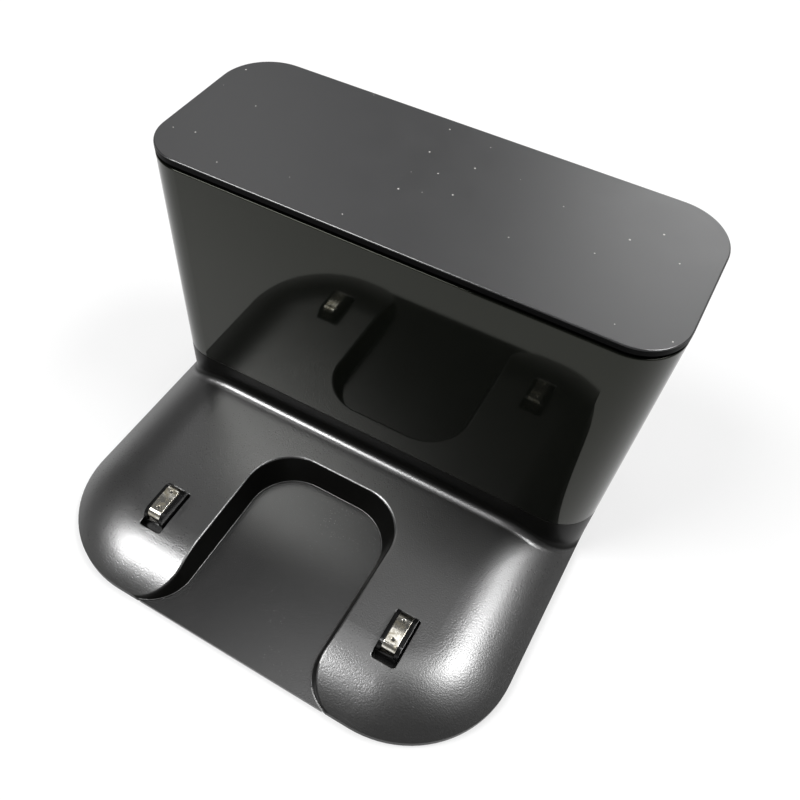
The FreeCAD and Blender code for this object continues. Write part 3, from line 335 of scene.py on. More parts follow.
class DockColours(PropertyGroup):
    """Colours of the dock's finishes, as linear values."""

    tray: FloatVectorProperty(
        name="Tray", description="Grained black of the base tray", subtype="COLOR", size=3,
        min=0.0, max=1.0, default=(0.005, 0.005, 0.0046))
    plate: FloatVectorProperty(
        name="Plate", description="Dark grey of the bottom plate and channel floor", subtype="COLOR", size=3,
        min=0.0, max=1.0, default=(0.007, 0.007, 0.007))
    window: FloatVectorProperty(
        name="Window", description="Nearly black green of the infrared window", subtype="COLOR", size=3,
        min=0.0, max=1.0, default=(0.004, 0.0045, 0.0035))
    cap: FloatVectorProperty(
        name="Cap", description="Charcoal of the matte lid", subtype="COLOR", size=3, min=0.0, max=1.0,
        default=(0.024, 0.024, 0.025))
    dust: FloatVectorProperty(
        name="Dust", description="Pale motes on the lid", subtype="COLOR", size=3, min=0.0, max=1.0,
        default=(0.45, 0.44, 0.42))
    nickel: FloatVectorProperty(
        name="Nickel", description="Plating of the contact strips", subtype="COLOR", size=3,
        min=0.0, max=1.0, default=(0.78, 0.76, 0.70))
    carrier: FloatVectorProperty(
        name="Carrier", description="Black of the contact carriers", subtype="COLOR", size=3,
        min=0.0, max=1.0, default=(0.006, 0.006, 0.006))
    rubber: FloatVectorProperty(
        name="Rubber", description="Feet", subtype="COLOR", size=3, min=0.0, max=1.0,
        default=(0.035, 0.035, 0.036))
    floor: FloatVectorProperty(
        name="Floor", description="Pale studio floor", subtype="COLOR", size=3, min=0.0, max=1.0,
        default=(0.86, 0.86, 0.86))


class DockSizes(PropertyGroup):
    """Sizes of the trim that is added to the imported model."""

    edge_round: FloatProperty(
        name="Edge rounding", description="Rounding along the edges of small mouldings",
        default=0.00025, min=0.00005, max=0.001, unit="LENGTH")
    strip_thickness: FloatProperty(
        name="Strip thickness", description="Sheet that the contact strips are bent from",
        default=0.0005, min=0.0003, max=0.0008, unit="LENGTH")
    strip_round: FloatProperty(
        name="Strip rounding", description="Rounding along the edges of the contact strips",
        default=0.00014, min=0.00002, max=0.0002, unit="LENGTH")
    strip_bend: FloatProperty(
        name="Strip bend", description="Outer radius of the bends of the contact strips",
        default=0.0023, min=0.0008, max=0.0025, unit="LENGTH")
    strip_crown: FloatProperty(
        name="Strip crown", description="How far the top of a contact strip falls towards its bends",
        default=0.00018, min=0.0, max=0.0004, unit="LENGTH")
    dimple_radius: FloatProperty(
        name="Dimple radius", description="Radius of the two dimples in each contact strip",
        default=0.0006, min=0.0002, max=0.001, unit="LENGTH")
    dimple_depth: FloatProperty(
        name="Dimple depth", description="Depth of the dimples in the contact strips",
        default=0.0003, min=0.0001, max=0.0004, unit="LENGTH")
    dimple_spread: FloatProperty(
        name="Dimple spread", description="Distance between the two dimples of a contact strip",
        default=0.0064, min=0.002, max=0.008, unit="LENGTH")
    bead_radius: FloatProperty(
        name="Bead radius", description="Radius of the bead along the foot of the channel's walls",
        default=0.0002, min=0.0001, max=0.0004, unit="LENGTH")
    rib_count: IntProperty(
        name="Ribs", description="Grip ribs across each foot", default=7, min=3, max=12)
    rib_width: FloatProperty(
        name="Rib width", description="Width of one grip rib", default=0.0009, min=0.0004, max=0.0015,
        unit="LENGTH")
    rib_height: FloatProperty(
        name="Rib height", description="How far the ribs stand out of the foot", default=0.0004, min=0.0001,
        max=0.0008, unit="LENGTH")
    recess_width: FloatProperty(
        name="Recess width", description="Width of the arms of a screw's cross recess", default=0.0006,
        min=0.0002, max=0.001, unit="LENGTH")
    recess_depth: FloatProperty(
        name="Recess depth", description="Depth of a screw's cross recess", default=0.0008, min=0.0002,
        max=0.0012, unit="LENGTH")


class StageSettings(PropertyGroup):
    """The camera's lens, the level of the soft light and the floor."""

    lens: FloatProperty(
        name="Lens", description="Focal length on a 36 mm sensor", default=35.268, min=10.0, max=200.0,
        unit="CAMERA")
    sky: FloatProperty(
        name="Sky", description="Level of the soft light from all round", default=0.12, min=0.0, max=2.0)
    floor_radius: FloatProperty(
        name="Floor radius", description="Radius of the level part of the floor", default=1.7, min=1.5,
        max=10.0, unit="LENGTH")
    cove_radius: FloatProperty(
        name="Cove radius", description="Radius of the curve by which the floor's rim rises", default=1.6,
        min=0.5, max=5.0, unit="LENGTH")


FINISHES = {}


def make_finishes(colours):
    """Every material slot of the record gets its own finish."""
    along_strip = (1.0, 0.06, 1.0)
    FINISHES.update({
        "tray_plastic": grained("tray_plastic", colours.tray, 0.300, 0.042 * MM, 1.8, 0.06),
        "plate_plastic": grained("plate_plastic", colours.plate, 0.24, 0.03 * MM, 1.6, 0.45),
        "panel_plastic": grained("panel_plastic", colours.tray, 0.40, 0.05 * MM, 1.5, 0.40),
        "carrier_plastic": smooth_plastic("carrier_plastic", colours.carrier, 0.20, 0.25),
        "shell_gloss": polished_window("shell_gloss", colours.window),
        "cap_plastic": dusty_matte("cap_plastic", colours.cap, colours.dust),
        "contact_metal": plated("contact_metal", colours.nickel, 0.22, along_strip),
        "foot_rubber": soft_rubber("foot_rubber", colours.rubber),
        "inlet_plastic": smooth_plastic("inlet_plastic", (0.014, 0.014, 0.015), 0.40),
        "hood_plastic": smooth_plastic("hood_plastic", (0.010, 0.010, 0.010), 0.60),
        "connector_plastic": smooth_plastic("connector_plastic", (0.70, 0.69, 0.64), 0.42),
        "capacitor_sleeve": smooth_plastic("capacitor_sleeve", (0.02, 0.02, 0.04), 0.22),
        "emitter_lens": smooth_plastic("emitter_lens", (0.03, 0.02, 0.05), 0.08),
        "lead_sheath": smooth_plastic("lead_sheath", (0.03, 0.03, 0.03), 0.45),
        "ballast_iron": cast_iron("ballast_iron", (0.16, 0.16, 0.16)),
        "pin_metal": plated("pin_metal", (0.74, 0.68, 0.55), 0.20, (1.0, 0.1, 1.0)),
        "screw_steel": plated("screw_steel", (0.58, 0.58, 0.57), 0.28, (1.0, 1.0, 1.0)),
        "spring_steel": plated("spring_steel", (0.62, 0.62, 0.61), 0.24, (1.0, 1.0, 0.3)),
        "terminal_brass": plated("terminal_brass", (0.72, 0.55, 0.24), 0.26, (1.0, 0.1, 1.0)),
        "board_laminate": solder_mask("board_laminate", (0.02, 0.11, 0.04), (0.70, 0.68, 0.60)),
        "transformer_wrap": wound_tape("transformer_wrap", (0.62, 0.46, 0.08)),
    })


def dress(*prefixes):
    """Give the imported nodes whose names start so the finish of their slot."""
    names = [name for name in frame["nodes"] if name.startswith(prefixes)]
    if not names:
        raise RuntimeError(f"no node is named {prefixes}")
    for name in names:
        node = frame["nodes"][name]
        node.data.materials.clear()
        node.data.materials.append(FINISHES[SLOT_OF[name]])


def body_of_node(name):
    bodies = frame["record"]["behaviour"]["bodies"]
    return next(body for body, nodes in bodies.items() if name in nodes)


def add_piece(name, mesh, node):
    """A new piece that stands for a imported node, rides on its body and takes its slot's finish."""
    piece = bpy.data.objects.new(name, mesh)
    bpy.context.scene.collection.objects.link(piece)
    piece.data.materials.clear()
    piece.data.materials.append(FINISHES[SLOT_OF[node]])
    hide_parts(node)
    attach(piece, body_of_node(node))
    return piece


def plain_mesh(made, name):
    """The evaluated mesh of a scratch object, which is then removed."""
    shape = made.evaluated_get(bpy.context.evaluated_depsgraph_get())
    mesh = bpy.data.meshes.new_from_object(shape)
    mesh.name = name
    source = made.data
    bpy.data.objects.remove(made)
    bpy.data.meshes.remove(source)
    return mesh


SHARP = math.radians(32)
ROUND = math.radians(60)
WELD = 0.001 * MM
FLAT = math.radians(0.6)


def shade(mesh, sharp=SHARP):
    """Smooth shading, broken where faces meet at more than an angle."""
    mesh.shade_smooth()
    mesh.set_sharp_from_angle(angle=sharp)


def merged_copy(node):
    """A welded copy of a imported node's triangles, its flat faces joined up."""
    work = bmesh.new()
    work.from_mesh(frame["nodes"][node].data)
    bmesh.ops.remove_doubles(work, verts=work.verts, dist=WELD)
    bmesh.ops.dissolve_limit(work, angle_limit=FLAT, verts=work.verts, edges=work.edges)
    return work


def round_off(node, name, width, segments=2, turn=math.radians(35)):
    """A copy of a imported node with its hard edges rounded."""
    work = merged_copy(node)
    mesh = bpy.data.meshes.new(f"{name}_blank")
    work.to_mesh(mesh)
    work.free()
    shade(mesh, turn)
    made = bpy.data.objects.new(f"{name}_blank", mesh)
    bpy.context.scene.collection.objects.link(made)
    bevel = made.modifiers.new("edge", "BEVEL")
    bevel.width = width
    bevel.segments = segments
    bevel.limit_method = "ANGLE"
    bevel.angle_limit = turn
    bevel.use_clamp_overlap = True
    bevel.harden_normals = True
    return add_piece(name, plain_mesh(made, name), node)


class DOCK_OT_finishes(Operator):
    """Make every material of the dock"""

    bl_idname = "dock.finishes"
    bl_label = "Make finishes"

    def execute(self, context):
        make_finishes(context.scene.dock_colours)
        return {"FINISHED"}


class DOCK_OT_base(Operator):
    """Dress the base tray, the bottom plate and the ballast"""

    bl_idname = "dock.base"
    bl_label = "Dress base"

    def execute(self, context):
        dress("base_tray", "bottom_plate", "ballast_plate")
        return {"FINISHED"}


class DOCK_OT_tower(Operator):
    """Dress the tower's shell, cap and rear panel"""

    bl_idname = "dock.tower"
    bl_label = "Dress tower"

    def execute(self, context):
        dress("tower_shell", "top_cap", "rear_panel")
        return {"FINISHED"}


BEND_STEPS = 10
TOP_STEPS = 78
ACROSS_STEPS = 34
CORNER_STEPS = 3
DIMPLE_WALL = 0.4
DIMPLE_LEAN = math.radians(30)
COIL_ROOM = 0.05 * MM


def strip_line(low, high, bend, crown):
    """Outer line of a bent strip from foot to foot: a place and an outward direction in Y and Z."""
    shoulder = high.z - crown - bend
    bends = []
    for middle, first in ((low.y + bend, math.pi), (high.y - bend, math.pi / 2)):
        turns = [first - math.pi / 2 * step / BEND_STEPS for step in range(BEND_STEPS + 1)]
        bends.append([((middle + bend * math.cos(turn), shoulder + bend * math.sin(turn)),
                       (math.cos(turn), math.sin(turn))) for turn in turns])
    run = high.y - low.y - 2 * bend
    top = []
    for step in range(1, TOP_STEPS):
        share = 2 * step / TOP_STEPS - 1
        lean = math.sin(math.pi * share) * math.pi * crown / run
        top.append(((low.y + bend + run * step / TOP_STEPS,
                     high.z - crown * (1 - math.cos(math.pi * share)) / 2),
                    (math.sin(lean), math.cos(lean))))
    return [((low.y, low.z), (-1.0, 0.0)), *bends[0], *top, *bends[1], ((high.y, low.z), (1.0, 0.0))]


def strip_section(half, thickness, rounding):
    """Closed section of a strip: places across it and depths under its outer face."""
    inner = half - rounding
    under = thickness - rounding
    centres = ((inner, rounding), (inner, under), (-inner, under), (-inner, rounding))
    outline = []
    for quarter, (across, depth) in enumerate(centres):
        for step in range(CORNER_STEPS + 1):
            turn = math.pi / 2 * (quarter + step / CORNER_STEPS)
            outline.append((across + rounding * math.sin(turn), depth - rounding * math.cos(turn)))
    return outline + [(-inner + 2 * inner * step / ACROSS_STEPS, 0.0) for step in range(1, ACROSS_STEPS)]


def dent(reach, radius):
    """Share of a dimple's depth at a distance from its middle: a flat bottom and a steep round wall."""
    share = min(max((radius - reach) / (DIMPLE_WALL * radius), 0.0), 1.0)
    return share * share * (3 - 2 * share)


def strip_mesh(name, node, sizes):
    """A contact strip: its section carried along the bent line, dimpled on top."""
    low, high = (Vector(corner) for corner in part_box(node))
    middle = (low + high) / 2
    dimples = [middle.y + side * sizes.dimple_spread / 2 for side in (-1, 1)]
    section = strip_section((high.x - low.x) / 2, sizes.strip_thickness, sizes.strip_round)
    line = strip_line(low, high, sizes.strip_bend, sizes.strip_crown)
    work = bmesh.new()
    # The dimple share of each point, kept for the painted shade in the dimples.
    dimple_shade = work.verts.layers.float.new(DIMPLE)
    rings = []
    for (y, z), (away_y, away_z) in line:
        ring = []
        for across, depth in section:
            share = 0.0
            if depth == 0.0 and away_z > math.cos(DIMPLE_LEAN):
                share = max(dent(math.hypot(across, y - place), sizes.dimple_radius) for place in dimples)
            depth += share * sizes.dimple_depth
            vert = work.verts.new((middle.x + across, y - away_y * depth, z - away_z * depth))
            vert[dimple_shade] = share
            ring.append(vert)
        rings.append(ring)
    for ring, other in zip(rings, rings[1:]):
        for count in range(len(section)):
            work.faces.new((ring[count - 1], ring[count], other[count], other[count - 1]))
    work.faces.new(rings[0])
    work.faces.new(rings[-1])
    bmesh.ops.recalc_face_normals(work, faces=work.faces)
    mesh = bpy.data.meshes.new(name)
    work.to_mesh(mesh)
    work.free()
    shade(mesh, ROUND)
    return mesh


def pressed_coil(side):
    """A copy of a contact's spring as a piece of its own on its body; the share it would keep when pressed
    is worked out but not used.
    """
    node, press = f"contact_spring_{side}", f"contact_{side}_press"
    low, high = (Vector(corner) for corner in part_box(node))
    coil = add_piece(f"contact_coil_{side}", frame["nodes"][node].data.copy(), node)
    keep = 1.0 - (TRAVEL[press] + COIL_ROOM) / (high.z - low.z)
    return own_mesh(coil)


class DOCK_OT_contacts(Operator):
    """Make the bent strips, their rounded carriers and the springs, and dress what is under them"""

    bl_idname = "dock.contacts"
    bl_label = "Make contacts"

    def execute(self, context):
        sizes = context.scene.dock_sizes
        for side in ("left", "right"):
            strip = strip_mesh(f"contact_strip_{side}", f"contact_plate_{side}", sizes)
            add_piece(f"contact_strip_{side}", strip, f"contact_plate_{side}")
            round_off(f"contact_carrier_{side}", f"contact_block_{side}", sizes.edge_round)
            pressed_coil(side)
        dress("contact_spring_", "contact_terminal_", "contact_lead_", "contact_plate_", "contact_carrier_")
        return {"FINISHED"}


class DOCK_OT_inlet(Operator):
    """Round off the power inlet and dress its pins"""

    bl_idname = "dock.inlet"
    bl_label = "Make inlet"

    def execute(self, context):
        round_off("power_inlet", "inlet_socket", context.scene.dock_sizes.edge_round)
        dress("power_inlet", "inlet_pins")
        return {"FINISHED"}


class DOCK_OT_electronics(Operator):
    """Dress the boards and what stands on them"""

    bl_idname = "dock.electronics"
    bl_label = "Dress electronics"

    def execute(self, context):
        dress("power_board", "transformer", "bulk_capacitor", "lead_connector_", "emitter_hood",
              "emitter_board", "ir_emitter_", "signal_lead")
        return {"FINISHED"}


def add_input(tree, name, kind, value):
    socket = tree.interface.new_socket(name, in_out="INPUT", socket_type=kind)
    if value is not None:
        socket.default_value = value
    return socket.identifier


def start_shape(name, inputs):
    """A geometry tree with named inputs; returns its graph, the inputs as terms and their identifiers."""
    tree = bpy.data.node_groups.new(name, "GeometryNodeTree")
    tree.is_modifier = True
    tree.interface.new_socket("Geometry", in_out="INPUT", socket_type="NodeSocketGeometry")
    tree.interface.new_socket("Geometry", in_out="OUTPUT", socket_type="NodeSocketGeometry")
    keys = {label: add_input(tree, label, kind, value) for label, (kind, value) in inputs.items()}
    graph = Graph(tree)
    entry = tree.nodes.new("NodeGroupInput")
    terms = {socket.name: Term(graph, socket) for socket in entry.outputs if socket.name}
    return graph, terms, keys


def end_shape(graph, geometry, finish):
    """Close a geometry tree with real meshes and one finish."""
    real = graph.node("GeometryNodeRealizeInstances", None, {"Geometry": geometry})
    done = graph.node("GeometryNodeSetMaterial", None, {"Geometry": real, "Material": finish})
    graph.node("NodeGroupOutput", None, {"Geometry": done})


def grow(name, mesh, tree, keys, values):
    """Run a geometry tree on a mesh with the given inputs and return the plain mesh it makes."""
    made = bpy.data.objects.new(f"{name}_blank", mesh)
    bpy.context.scene.collection.objects.link(made)
    modifier = made.modifiers.new("shape", "NODES")
    modifier.node_group = tree
    for label, value in values.items():
        modifier[keys[label]] = value
    return plain_mesh(made, name)


def combine(graph, x, y, z):
    return graph.node("ShaderNodeCombineXYZ", None, {0: x, 1: y, 2: z})


RIB_RUN = 0.72
RIB_REACH = 0.70


def foot_tree():
    """A foot: the pad's own mesh, joined to ribs that stand across it at even steps."""
    graph, terms, keys = start_shape("foot_ribs", {
        "Middle": ("NodeSocketVector", (0.0, 0.0, 0.0)),
        "Run": ("NodeSocketFloat", 0.01),
        "Count": ("NodeSocketInt", 5),
        "Rib width": ("NodeSocketFloat", 0.001),
        "Rib length": ("NodeSocketFloat", 0.005),
        "Rib height": ("NodeSocketFloat", 0.0004),
    })
    rib = graph.node("GeometryNodeMeshCube", None, {
        "Size": combine(graph, terms["Rib width"], terms["Rib length"], terms["Rib height"]),
        "Vertices X": 2, "Vertices Y": 2, "Vertices Z": 2})
    step = terms["Run"] / (terms["Count"] - 1)
    first = graph.node("ShaderNodeVectorMath", {"operation": "SUBTRACT"},
                       {0: terms["Middle"], 1: combine(graph, terms["Run"] * 0.5, 0.0, 0.0)})
    row = graph.node("GeometryNodeMeshLine", {"mode": "OFFSET"}, {
        "Count": terms["Count"], "Start Location": first, "Offset": combine(graph, step, 0.0, 0.0)})
    ribs = graph.node("GeometryNodeInstanceOnPoints", None, {"Points": row, "Instance": rib})
    joined = graph.node("GeometryNodeJoinGeometry", None, {"Geometry": [terms["Geometry"], ribs]})
    end_shape(graph, joined, FINISHES["foot_rubber"])
    return graph.tree, keys


def foot_pad(node, rib_height):
    """The foot's own moulding, cut level with the top of its ribs."""
    work = merged_copy(node)
    low = min(vert.co.z for vert in work.verts)
    for vert in work.verts:
        if vert.co.z < low + rib_height:
            vert.co.z = low + rib_height
    mesh = bpy.data.meshes.new(f"{node}_pad")
    work.to_mesh(mesh)
    work.free()
    return mesh


class DOCK_OT_feet(Operator):
    """Make the rubber feet with grip ribs"""

    bl_idname = "dock.feet"
    bl_label = "Make feet"

    def execute(self, context):
        sizes = context.scene.dock_sizes
        tree, keys = foot_tree()
        for node in FOOT_NODES:
            low, high = (Vector(corner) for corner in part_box(node))
            middle = (low + high) / 2
            middle.z = low.z + sizes.rib_height / 2
            mesh = grow(f"{node}_ribbed", foot_pad(node, sizes.rib_height), tree, keys, {
                "Middle": middle,
                "Run": (high.x - low.x) * RIB_RUN,
                "Count": sizes.rib_count,
                "Rib width": sizes.rib_width,
                "Rib length": (high.y - low.y) * RIB_REACH,
                "Rib height": sizes.rib_height,
            })
            shade(mesh)
            add_piece(f"{node}_ribbed", mesh, node)
        dress("foot_")
        return {"FINISHED"}


HEAD_SIDES = 40
SHANK_SIDES = 24
RECESS_REACH = 1.2


def screw_tree():
    """A screw on each point: a shank and a head with a cross recess, turned to the screw's own axis."""
    graph, terms, keys = start_shape("cross_screws", {
        "Turn": ("NodeSocketRotation", None),
        "Head low": ("NodeSocketFloat", 0.0025),
        "Head high": ("NodeSocketFloat", 0.0013),
        "Head height": ("NodeSocketFloat", 0.0013),
        "Shank": ("NodeSocketFloat", 0.0013),
        "Length": ("NodeSocketFloat", 0.006),
        "Recess width": ("NodeSocketFloat", 0.0006),
        "Recess depth": ("NodeSocketFloat", 0.0008),
    })
    head = graph.node("GeometryNodeMeshCone", None, {
        "Vertices": HEAD_SIDES, "Radius Bottom": terms["Head low"], "Radius Top": terms["Head high"],
        "Depth": terms["Head height"]})
    arm = terms["Head low"] * RECESS_REACH
    arms = []
    for size in (combine(graph, arm, terms["Recess width"], terms["Recess depth"] * 2.0),
                 combine(graph, terms["Recess width"], arm, terms["Recess depth"] * 2.0)):
        arms.append(graph.node("GeometryNodeMeshCube", None, {"Size": size}))
    crossed = graph.node("GeometryNodeMeshBoolean", {"operation": "UNION"}, {"Mesh 2": arms})
    cut_head = graph.node("GeometryNodeMeshBoolean", {"operation": "DIFFERENCE"},
                          {"Mesh 1": head, "Mesh 2": crossed})
    shank = graph.node("GeometryNodeMeshCylinder", None, {
        "Vertices": SHANK_SIDES, "Radius": terms["Shank"], "Depth": terms["Length"] - terms["Head height"]})
    raised = graph.node("GeometryNodeTransform", None, {
        "Geometry": shank,
        "Translation": combine(graph, 0.0, 0.0, (terms["Length"] + terms["Head height"]) * 0.5)})
    screw = graph.node("GeometryNodeJoinGeometry", None, {"Geometry": [cut_head, raised]})
    screws = graph.node("GeometryNodeInstanceOnPoints", None, {
        "Points": terms["Geometry"], "Instance": screw, "Rotation": terms["Turn"]})
    end_shape(graph, screws, FINISHES["screw_steel"])
    return graph.tree, keys


def solids_of(node):
    """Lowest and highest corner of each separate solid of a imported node."""
    work = merged_copy(node)
    left = set(work.verts)
    boxes = []
    while left:
        edge_of_solid = [left.pop()]
        found = []
        while edge_of_solid:
            vert = edge_of_solid.pop()
            found.append(vert.co.copy())
            for link in vert.link_edges:
                other = link.other_vert(vert)
                if other in left:
                    left.remove(other)
                    edge_of_solid.append(other)
        boxes.append([Vector(tuple(pick(point[axis] for point in found) for axis in range(3)))
                      for pick in (min, max)])
    work.free()
    return sorted(boxes, key=lambda pair: tuple(pair[0]))


SCREW_SETS = {
    "plate_screws": (Vector((0.0, 0.0, 1.0)), 1.3 * MM, True),
    "tower_screws": (Vector((0.0, 0.0, 1.0)), 1.5 * MM, False),
    "board_screws": (Vector((0.0, 1.0, 0.0)), 1.3 * MM, False),
    "emitter_screws": (Vector((0.0, -1.0, 0.0)), 1.3 * MM, False),
}
HEAD_RADIUS = 2.5 * MM
HEAD_HEIGHT = 1.3 * MM


CHANNEL_LEVEL = 2.2 * MM
CHANNEL_HALF = 23.25 * MM
CHANNEL_REAR = -5.05 * MM
CHANNEL_CORNER = 15.4 * MM
CHANNEL_MOUTH = -68.25 * MM
MOUTH_RADIUS = 14.0 * MM
MOUTH_END = math.radians(18)
ARC_STEPS = 24
BEAD_SIDES = 12


def channel_foot(level):
    """Line round the foot of the caster channel's walls, from one side of its mouth to the other."""
    flare = [math.radians(90) * step / ARC_STEPS for step in range(ARC_STEPS + 1)]
    right = [(CHANNEL_HALF + MOUTH_RADIUS * (1 - math.sin(turn)),
              CHANNEL_MOUTH + MOUTH_RADIUS * (1 - math.cos(turn))) for turn in flare if turn > MOUTH_END]
    right += [(CHANNEL_HALF - CHANNEL_CORNER * (1 - math.cos(turn)),
               CHANNEL_REAR - CHANNEL_CORNER * (1 - math.sin(turn))) for turn in flare]
    return [(x, y, level) for x, y in right + [(-x, y) for x, y in reversed(right)]]


def bead_tree():
    """A round bead along the edges that it is given."""
    graph, terms, keys = start_shape("channel_bead", {"Radius": ("NodeSocketFloat", 0.0002)})
    line = graph.node("GeometryNodeMeshToCurve", None, {"Mesh": terms["Geometry"]})
    ring = graph.node("GeometryNodeCurvePrimitiveCircle", None, {
        "Resolution": BEAD_SIDES, "Radius": terms["Radius"]})
    tube = graph.node("GeometryNodeCurveToMesh", None, {
        "Curve": line, "Profile Curve": ring, "Fill Caps": True})
    end_shape(graph, tube, FINISHES["tray_plastic"])
    return graph.tree, keys


class DOCK_OT_bead(Operator):
    """Make the bead along the foot of the channel's walls"""

    bl_idname = "dock.bead"
    bl_label = "Make channel bead"

    def execute(self, context):
        sizes = context.scene.dock_sizes
        tree, keys = bead_tree()
        line = channel_foot(CHANNEL_LEVEL + sizes.bead_radius / 2)
        points = bpy.data.meshes.new("channel_bead_line")
        points.from_pydata(line, [(count, count + 1) for count in range(len(line) - 1)], [])
        mesh = grow("channel_bead", points, tree, keys, {"Radius": sizes.bead_radius})
        shade(mesh, ROUND)
        bead = bpy.data.objects.new("channel_bead", mesh)
        bpy.context.scene.collection.objects.link(bead)
        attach(bead, body_of_node("base_tray"))
        return {"FINISHED"}


class DOCK_OT_screws(Operator):
    """Make the cross-recessed screws"""

    bl_idname = "dock.screws"
    bl_label = "Make screws"

    def execute(self, context):
        sizes = context.scene.dock_sizes
        tree, keys = screw_tree()
        for node, (axis, shank, sunk) in SCREW_SETS.items():
            points = bpy.data.meshes.new(f"{node}_points")
            places, length = [], 0.0
            for low, high in solids_of(node):
                middle = (low + high) / 2
                half = abs((high - low).dot(axis)) / 2
                length = 2 * half
                places.append(middle - axis * half + axis * HEAD_HEIGHT / 2)
            points.from_pydata(places, [], [])
            mesh = grow(f"{node}_cross", points, tree, keys, {
                "Turn": axis.to_track_quat("Z", "Y").to_euler(),
                "Head low": HEAD_RADIUS,
                "Head high": shank if sunk else HEAD_RADIUS,
                "Head height": HEAD_HEIGHT,
                "Shank": shank,
                "Length": length,
                "Recess width": sizes.recess_width,
                "Recess depth": sizes.recess_depth,
            })
            shade(mesh)
            add_piece(f"{node}_cross", mesh, node)
        dress(*SCREW_SETS)
        return {"FINISHED"}


CAMERA_PLACE = (0.06763, -0.12437, 0.22376)
CAMERA_TURN = (34.411, -1.350, 30.635)
CAMERA_SHIFT = (0.06863, 0.07634)
SENSOR_WIDTH = 36.0
NEAREST = 10 * MM
FLOOR_LIFT = 0.6
LIFT_FADE = (0.05, 0.9)
FLOOR_SIDES = 96
COVE_STEPS = 12
COVE_RISE = math.radians(90)
LIGHT_REACH = 1.2
LIGHTS = {
    "left_softbox": ((-0.43, -0.35, 0.83), (0.64, 0.46), 14.5),
    "right_strip": ((0.42, 0.25, 0.87), (0.36, 0.52), 15.0),
    "right_spill": ((0.58, 0.14, 0.80), (0.80, 0.80), 0.6),
    "top_glow": ((-0.05, 0.08, 1.0), (0.60, 0.60), 1.3),
    "rear_left_glow": ((-0.50, 0.55, 0.67), (0.40, 0.40), 1.2),
    "rear_glow": ((0.07, 0.84, 0.54), (0.46, 0.46), 4.6),
}


def floor_finish(colour):
    """Pale floor: its colour under the studio light, lifted to white as background, less up the cove."""
    finish = Finish("studio_floor")
    shown, *others = (finish.node("ShaderNodeLightPath", None, None, name)
                      for name in ("Is Camera Ray", "Is Glossy Ray", "Is Transmission Ray"))
    for other in others:
        shown = shown.join("MAXIMUM", shown, other)
    plain = finish.node("ShaderNodeBsdfDiffuse", None, {"Color": opaque(colour)})
    white = finish.node("ShaderNodeEmission", None, {"Color": WHITE, "Strength": 1.0})
    height = finish.node("ShaderNodeSeparateXYZ", None, {"Vector": finish.place}, "Z")
    lift = shown * FLOOR_LIFT * (1.0 - finish.step(height, *LIFT_FADE))
    return finish.close(finish.mixed(lift, plain, white))


def coved_floor(radius, cove):
    """A round level floor whose rim rises in a smooth curve."""
    turns = [COVE_RISE * step / COVE_STEPS for step in range(COVE_STEPS + 1)]
    rings = [(radius + cove * math.sin(turn), cove * (1 - math.cos(turn))) for turn in turns]
    work = bmesh.new()
    last = []
    for reach, height in rings:
        ring = [work.verts.new((reach * math.cos(turn), reach * math.sin(turn), height))
                for turn in (math.tau * count / FLOOR_SIDES for count in range(FLOOR_SIDES))]
        if not last:
            work.faces.new(ring)
        for count in range(len(last)):
            work.faces.new((ring[count - 1], ring[count], last[count], last[count - 1]))
        last = ring
    mesh = bpy.data.meshes.new("floor")
    work.to_mesh(mesh)
    work.free()
    mesh.shade_smooth()
    return mesh


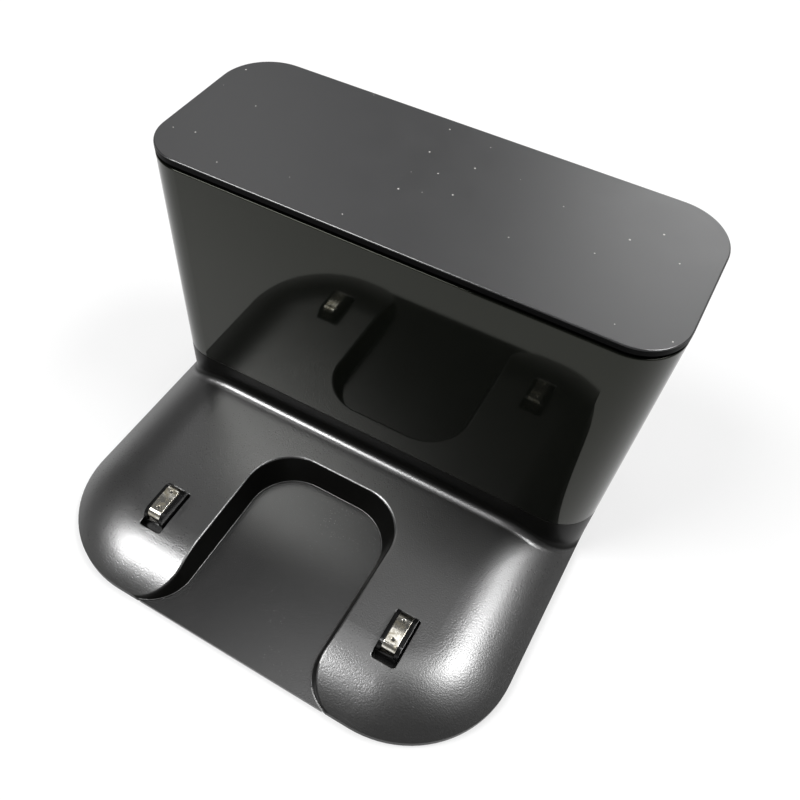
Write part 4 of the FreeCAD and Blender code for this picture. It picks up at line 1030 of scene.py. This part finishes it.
class DOCK_OT_stage(Operator):
    """Set up the floor, the soft light and the camera"""

    bl_idname = "dock.stage"
    bl_label = "Set stage"

    def execute(self, context):
        scene = context.scene
        settings = scene.dock_stage
        mesh = coved_floor(settings.floor_radius, settings.cove_radius)
        mesh.materials.append(floor_finish(scene.dock_colours.floor))
        floor = bpy.data.objects.new("floor", mesh)
        scene.collection.objects.link(floor)

        scene.world = bpy.data.worlds.new("studio")
        scene.world.use_nodes = True
        sky = Graph(scene.world.node_tree)
        sky.tree.nodes.clear()
        glow = sky.node("ShaderNodeBackground", None, {"Color": WHITE, "Strength": settings.sky})
        sky.node("ShaderNodeOutputWorld", None, {"Surface": glow})

        for name, (direction, (across, along), radiance) in LIGHTS.items():
            lamp = bpy.data.lights.new(name, "AREA")
            lamp.shape = "ELLIPSE"
            lamp.size = across
            lamp.size_y = along
            lamp.energy = radiance * math.pi * (math.pi / 4 * across * along)
            light = bpy.data.objects.new(name, lamp)
            away = Vector(direction).normalized()
            side = Vector((0.0, 1.0, 0.0)).cross(away).normalized()
            light.location = away * LIGHT_REACH
            light.rotation_euler = Matrix((side, away.cross(side), away)).transposed().to_euler()
            scene.collection.objects.link(light)

        view = bpy.data.cameras.new("view")
        view.lens = settings.lens
        view.sensor_fit = "HORIZONTAL"
        view.sensor_width = SENSOR_WIDTH
        view.shift_x, view.shift_y = CAMERA_SHIFT
        view.clip_start = NEAREST
        camera = bpy.data.objects.new("view", view)
        camera.location = CAMERA_PLACE
        camera.rotation_euler = Euler([math.radians(turn) for turn in CAMERA_TURN])
        scene.collection.objects.link(camera)
        scene.camera = camera
        scene.view_settings.view_transform = "Standard"
        return {"FINISHED"}


STEPS = (DOCK_OT_finishes, DOCK_OT_base, DOCK_OT_tower, DOCK_OT_contacts, DOCK_OT_inlet,
         DOCK_OT_electronics, DOCK_OT_feet, DOCK_OT_bead, DOCK_OT_screws, DOCK_OT_stage)


class DOCK_PT_sidebar(Panel):
    """Steps, colours and sizes of the dock"""

    bl_idname = "DOCK_PT_sidebar"
    bl_label = "Charging dock"
    bl_space_type = "VIEW_3D"
    bl_region_type = "UI"
    bl_category = "Dock"

    def draw(self, context):
        for step in STEPS:
            self.layout.operator(step.bl_idname)
        for group in (context.scene.dock_colours, context.scene.dock_sizes, context.scene.dock_stage):
            column = self.layout.column()
            for name in group.__annotations__:
                column.prop(group, name)


GROUPS = {"dock_colours": DockColours, "dock_sizes": DockSizes, "dock_stage": StageSettings}


def register():
    for item in (*GROUPS.values(), *STEPS, DOCK_PT_sidebar):
        bpy.utils.register_class(item)
    for name, group in GROUPS.items():
        setattr(bpy.types.Scene, name, PointerProperty(type=group))


def unregister():
    for name in GROUPS:
        delattr(bpy.types.Scene, name)
    for item in reversed((*GROUPS.values(), *STEPS, DOCK_PT_sidebar)):
        bpy.utils.unregister_class(item)


def main():
    register()
    for step in STEPS:
        family, action = step.bl_idname.split(".")
        getattr(getattr(bpy.ops, family), action)()


if __name__ == "__main__":
    main()
